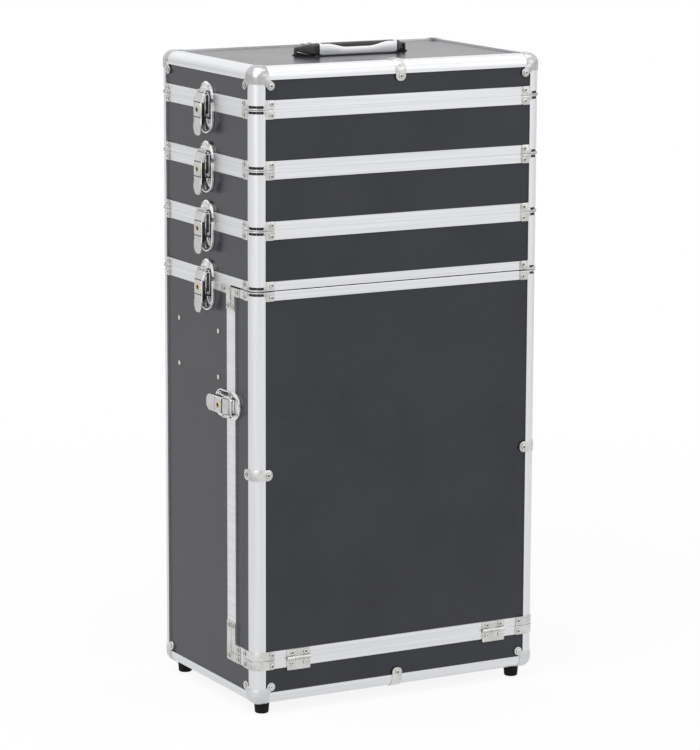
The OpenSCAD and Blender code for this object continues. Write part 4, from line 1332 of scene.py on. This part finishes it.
def makeCap(metal, neckWidth, model):  # made at the corner where x, y and z are all zero
    reach, wall, skin = cap["reach"], cap["wall"], case["skin"]
    shell = addBox((-reach, -reach, -reach), (wall, wall, wall))
    bevelEdges(shell, lambda mid, along: sum(value > wall - slack for value in mid) == 2,
               case["edgeRound"] + wall, 12)
    pickFaces(shell, lambda centre, normal: min(normal) < -squarely)
    bpy.ops.mesh.delete(type="FACE")
    leaveEdit()
    faceAway(shell, (-reach, -reach, -reach))
    thicken(shell, wall, -1)
    parts = [paint(roundEdges(shell, cap["soft"], 2, 50), metal)]
    at, plate = cap["tabAt"], cap["tabPlate"]
    slant = Matrix.Rotation(math.radians(45), 4, "Y") @ Matrix.Rotation(math.pi, 4, "Y")
    for flip in (False, True):
        tab = addRod((-at, (plate - skin) / 2, -at), cap["tabRadius"], plate + skin, "y", 40)
        neck = addBox((-neckWidth / 2, -skin, -cap["neckLength"]), (neckWidth / 2, cap["neckPlate"], 0))
        neck.data.transform(Matrix.Translation((-at * mm, 0, -at * mm)) @ slant)
        for part in (roundEdges(tab, cap["tabSoft"], 3), roundEdges(neck, cap["neckSoft"])):
            if flip:
                swapSides(part)
            parts.append(paint(part, metal))
        spot, outward = ((plate, -at, -at), (1, 0, 0)) if flip else ((-at, plate, -at), (0, 1, 0))
        parts.append(rivetOn(spot, outward, model))
    return joined(parts)


def atCap(x, y, z, up):
    return axes((x, 0, 0), (0, y, 0), (0, 0, up), (x * case["halfX"], y * case["halfY"], z))


for node, body, metal, slotName, neckWidth, z, up, model in (
        ("top_corner_caps", "lid", brightCap, "bright_cap", cap["brightNeck"], case["top"], 1, eyelet),
        ("bottom_corner_caps", "cabinet", castCap, "cap_metal", cap["castNeck"], case["base"], -1, dome)):
    capModel = makeCap(metal, neckWidth, model)
    four = [copied(capModel, atCap(x, y, z, up)) for x, y in corners]
    fit(joined(four), node + "_cast", body, [node])
    scrap(capModel)
scrap(eyelet, dome)
print("caps modelled")


# The folding handle on the lid

handle = {
    "grip": 98.0,          # length of the grip
    "height": 14.4,
    "depth": 11.0,
    "drop": 13.0,          # how far the grip lies in front of its pivots
    "reach": 69.3,         # from the middle to a tip
    "round": 3.0,
    # each arm in steps: the share of its length and of the drop, then its depth and its height
    "arm": ((0.04, 0.0, 0.93, 0.93), (0.2, 0.08, 0.94, 0.93), (0.35, 0.22, 0.88, 0.88),
            (0.5, 0.42, 0.79, 0.78), (0.64, 0.62, 0.68, 0.65), (0.77, 0.8, 0.56, 0.52),
            (0.88, 0.93, 0.46, 0.42), (0.95, 0.99, 0.38, 0.36), (0.99, 1.0, 0.32, 0.3),
            (1.0, 1.0, 0.22, 0.2)),
}
pivotZ = jointOf["handle_fold"]["pos_m"][2] / mm
lidFace = highOf("lid_top_panel").z
gripFront = -handle["drop"] - handle["depth"] / 2
gripBack = -handle["drop"] + handle["depth"] / 2


def makeHandleCore():
    half, drop, height = handle["grip"] / 2, handle["drop"], handle["height"] / 2
    core = addBox((-half, gripFront, pivotZ - height), (half, gripBack, pivotZ + height))
    bevelEdges(core, lying("x"), handle["round"], 5)
    length = handle["reach"] - half
    for side in (-1, 1):
        pickFaces(core, facing(side, 0, 0))
        before = (0, 0, 1, 1)
        for station in handle["arm"]:
            along, across, wide, tall = station
            pull(side * length * (along - before[0]), drop * (across - before[1]), 0)
            middle = (side * (half + length * along), -drop * (1 - across), pivotZ)
            widen(1, wide / before[2], tall / before[3], middle)
            before = station
        leaveEdit()
    return paint(core, handleBlack)


cover = {
    "over": 0.7,           # how far it goes beyond the grip at each end
    "depth": (1.2, 0.4),   # in front of the grip and into it
    "under": (0.8, 0.6),   # how far it stays inside the grip's bottom and top
    "soft": 0.7,
    "cuts": 44,            # points along its edges, for the scoop
    "scoop": 4.4,
    "scoopReach": 41.0,
    "scoopFlat": 0.35,     # share of the scoop that is level
    "collar": 2.6,         # width of the bright rings at the ends of the grip
    "collarPast": 0.5,     # how far they go past the cover's ends and the grip's back
    "collarFront": 1.6,
    "collarRise": (0.84, 0.7),
    "collarHollow": ((0.45, 0), (0.2, -0.9)),
}


def makeHandleCover():
    half = handle["grip"] / 2 + cover["over"]
    low = pivotZ - handle["height"] / 2 + cover["under"][0]
    high = pivotZ + handle["height"] / 2 - cover["under"][1]
    before, into = cover["depth"]
    sheet = addBox((-half, gripFront - before, low), (half, gripFront + into, high))
    pickEdges(sheet, lying("x"))
    bpy.ops.mesh.subdivide(number_cuts=cover["cuts"])
    mesh = bmesh.from_edit_mesh(sheet.data)
    for point in mesh.verts:   # the top edge dips in the middle
        share = (1 - abs(point.co.x / mm) / cover["scoopReach"]) / (1 - cover["scoopFlat"])
        share = min(1, max(0, share))
        if point.co.z / mm > pivotZ:
            point.co.z -= cover["scoop"] * share * share * (3 - 2 * share) * mm
    bmesh.update_edit_mesh(sheet.data)
    leaveEdit()
    parts = [roundEdges(sheet, cover["soft"], 3, 40)]
    past, (below, above) = cover["collarPast"], cover["collarRise"]
    for side in (-1, 1):      # a bright ring round each end of the grip
        start, end = sorted((side * (half + past - cover["collar"]), side * (half + past)))
        front, back = gripFront - cover["collarFront"], gripBack + past
        ring = addBox((start, front, low - below), (end, back, high + above))
        bevelEdges(ring, lying("x"), handle["round"], 5)
        stepFaces(ring, isEnd, *cover["collarHollow"])
        parts.append(ring)
    for part in parts:
        paint(part, handleSilver)
    return joined(parts)


lug = {
    "foot": (16.0, 16.0, 1.2),   # length, width and thickness
    "footEnd": 72.8,             # from the middle of the handle
    "footRound": 5,
    "ear": (69.6, 72.0),         # from and to, from the middle of the handle
    "earRadius": 2.4,
    "earSpread": 1.25,           # how much wider the ear is at its foot
    "pin": (2, 8, 1.8),          # how far its middle lies before the ear, its length and its radius
    # a dark wedge under each arm that stands in for the arm's shadow on the lid: distance from the middle,
    # height and share of its width
    "shadowWedge": ((50.8, 0.45, 1.0), (53.0, 0.55, 1.0), (56.1, 0.85, 0.95), (59.2, 1.5, 0.85),
               (62.0, 2.4, 0.72), (64.6, 3.1, 0.6), (69.6, 3.6, 0.45)),
    "shadowWedgeSpan": (-11, 3),
    "shadowWedgeStart": 0.4,
    "footSoft": 0.35,
    "shadowWedgeSoft": 0.15,
    "earSoft": 0.9,
}


# a matte black wedge under an arm, put there as its painted shadow
def makeShadowWedge(side):
    before = lug["shadowWedge"][0]
    left, right = sorted((side * (before[0] - lug["shadowWedgeStart"]), side * before[0]))
    start, end = lug["shadowWedgeSpan"]
    shadowWedge = addBox((left, start, lidFace), (right, end, lidFace + before[1]))
    for station in lug["shadowWedge"][1:]:
        pickFaces(shadowWedge, facing(side, 0, 0))
        pull(side * (station[0] - before[0]), 0, 0)
        widen(1, station[2] / before[2], station[1] / before[1], (0, 0, lidFace))
        leaveEdit()
        before = station
    return paint(shadowWedge, rubber)


def makeLugs():
    parts = []
    length, width, thickness = lug["foot"]
    near, far = lug["ear"]
    beforeEar, pinLength, pinRadius = lug["pin"]
    for side in (-1, 1):
        inner, outer = sorted((side * (lug["footEnd"] - length), side * lug["footEnd"]))
        plate = addBox((inner, -width / 2, lidFace), (outer, width / 2, lidFace + thickness))
        bevelEdges(plate, lying("z"), lug["footRound"], 6)
        shadowWedge = makeShadowWedge(side)
        ear = addRod((side * (near + far) / 2, 0, pivotZ), lug["earRadius"], far - near, "x")
        standUp(ear, pivotZ, lidFace)
        widen(1, lug["earSpread"], 1, (0, 0, lidFace))
        leaveEdit()
        pin = addRod((side * (near - beforeEar), 0, pivotZ), pinRadius, pinLength, "x")
        parts += [roundEdges(paint(plate, rubber), lug["footSoft"]), roundEdges(shadowWedge, lug["shadowWedgeSoft"]),
                  roundEdges(paint(ear, handleBlack), lug["earSoft"], 4), paint(pin, handleBlack)]
    return joined(parts)


fit(makeHandleCore(), "handle_core_moulded", "handle", ["handle_core"])
fit(makeHandleCover(), "handle_cover_formed", "handle", ["handle_cover"])
fit(makeLugs(), "handle_lugs_moulded", "lid", ["handle_mounts"])
print("feet and handle modelled")

buildCamera()
buildFloor()
buildLight()
bpy.context.scene.view_settings.view_transform = "Standard"
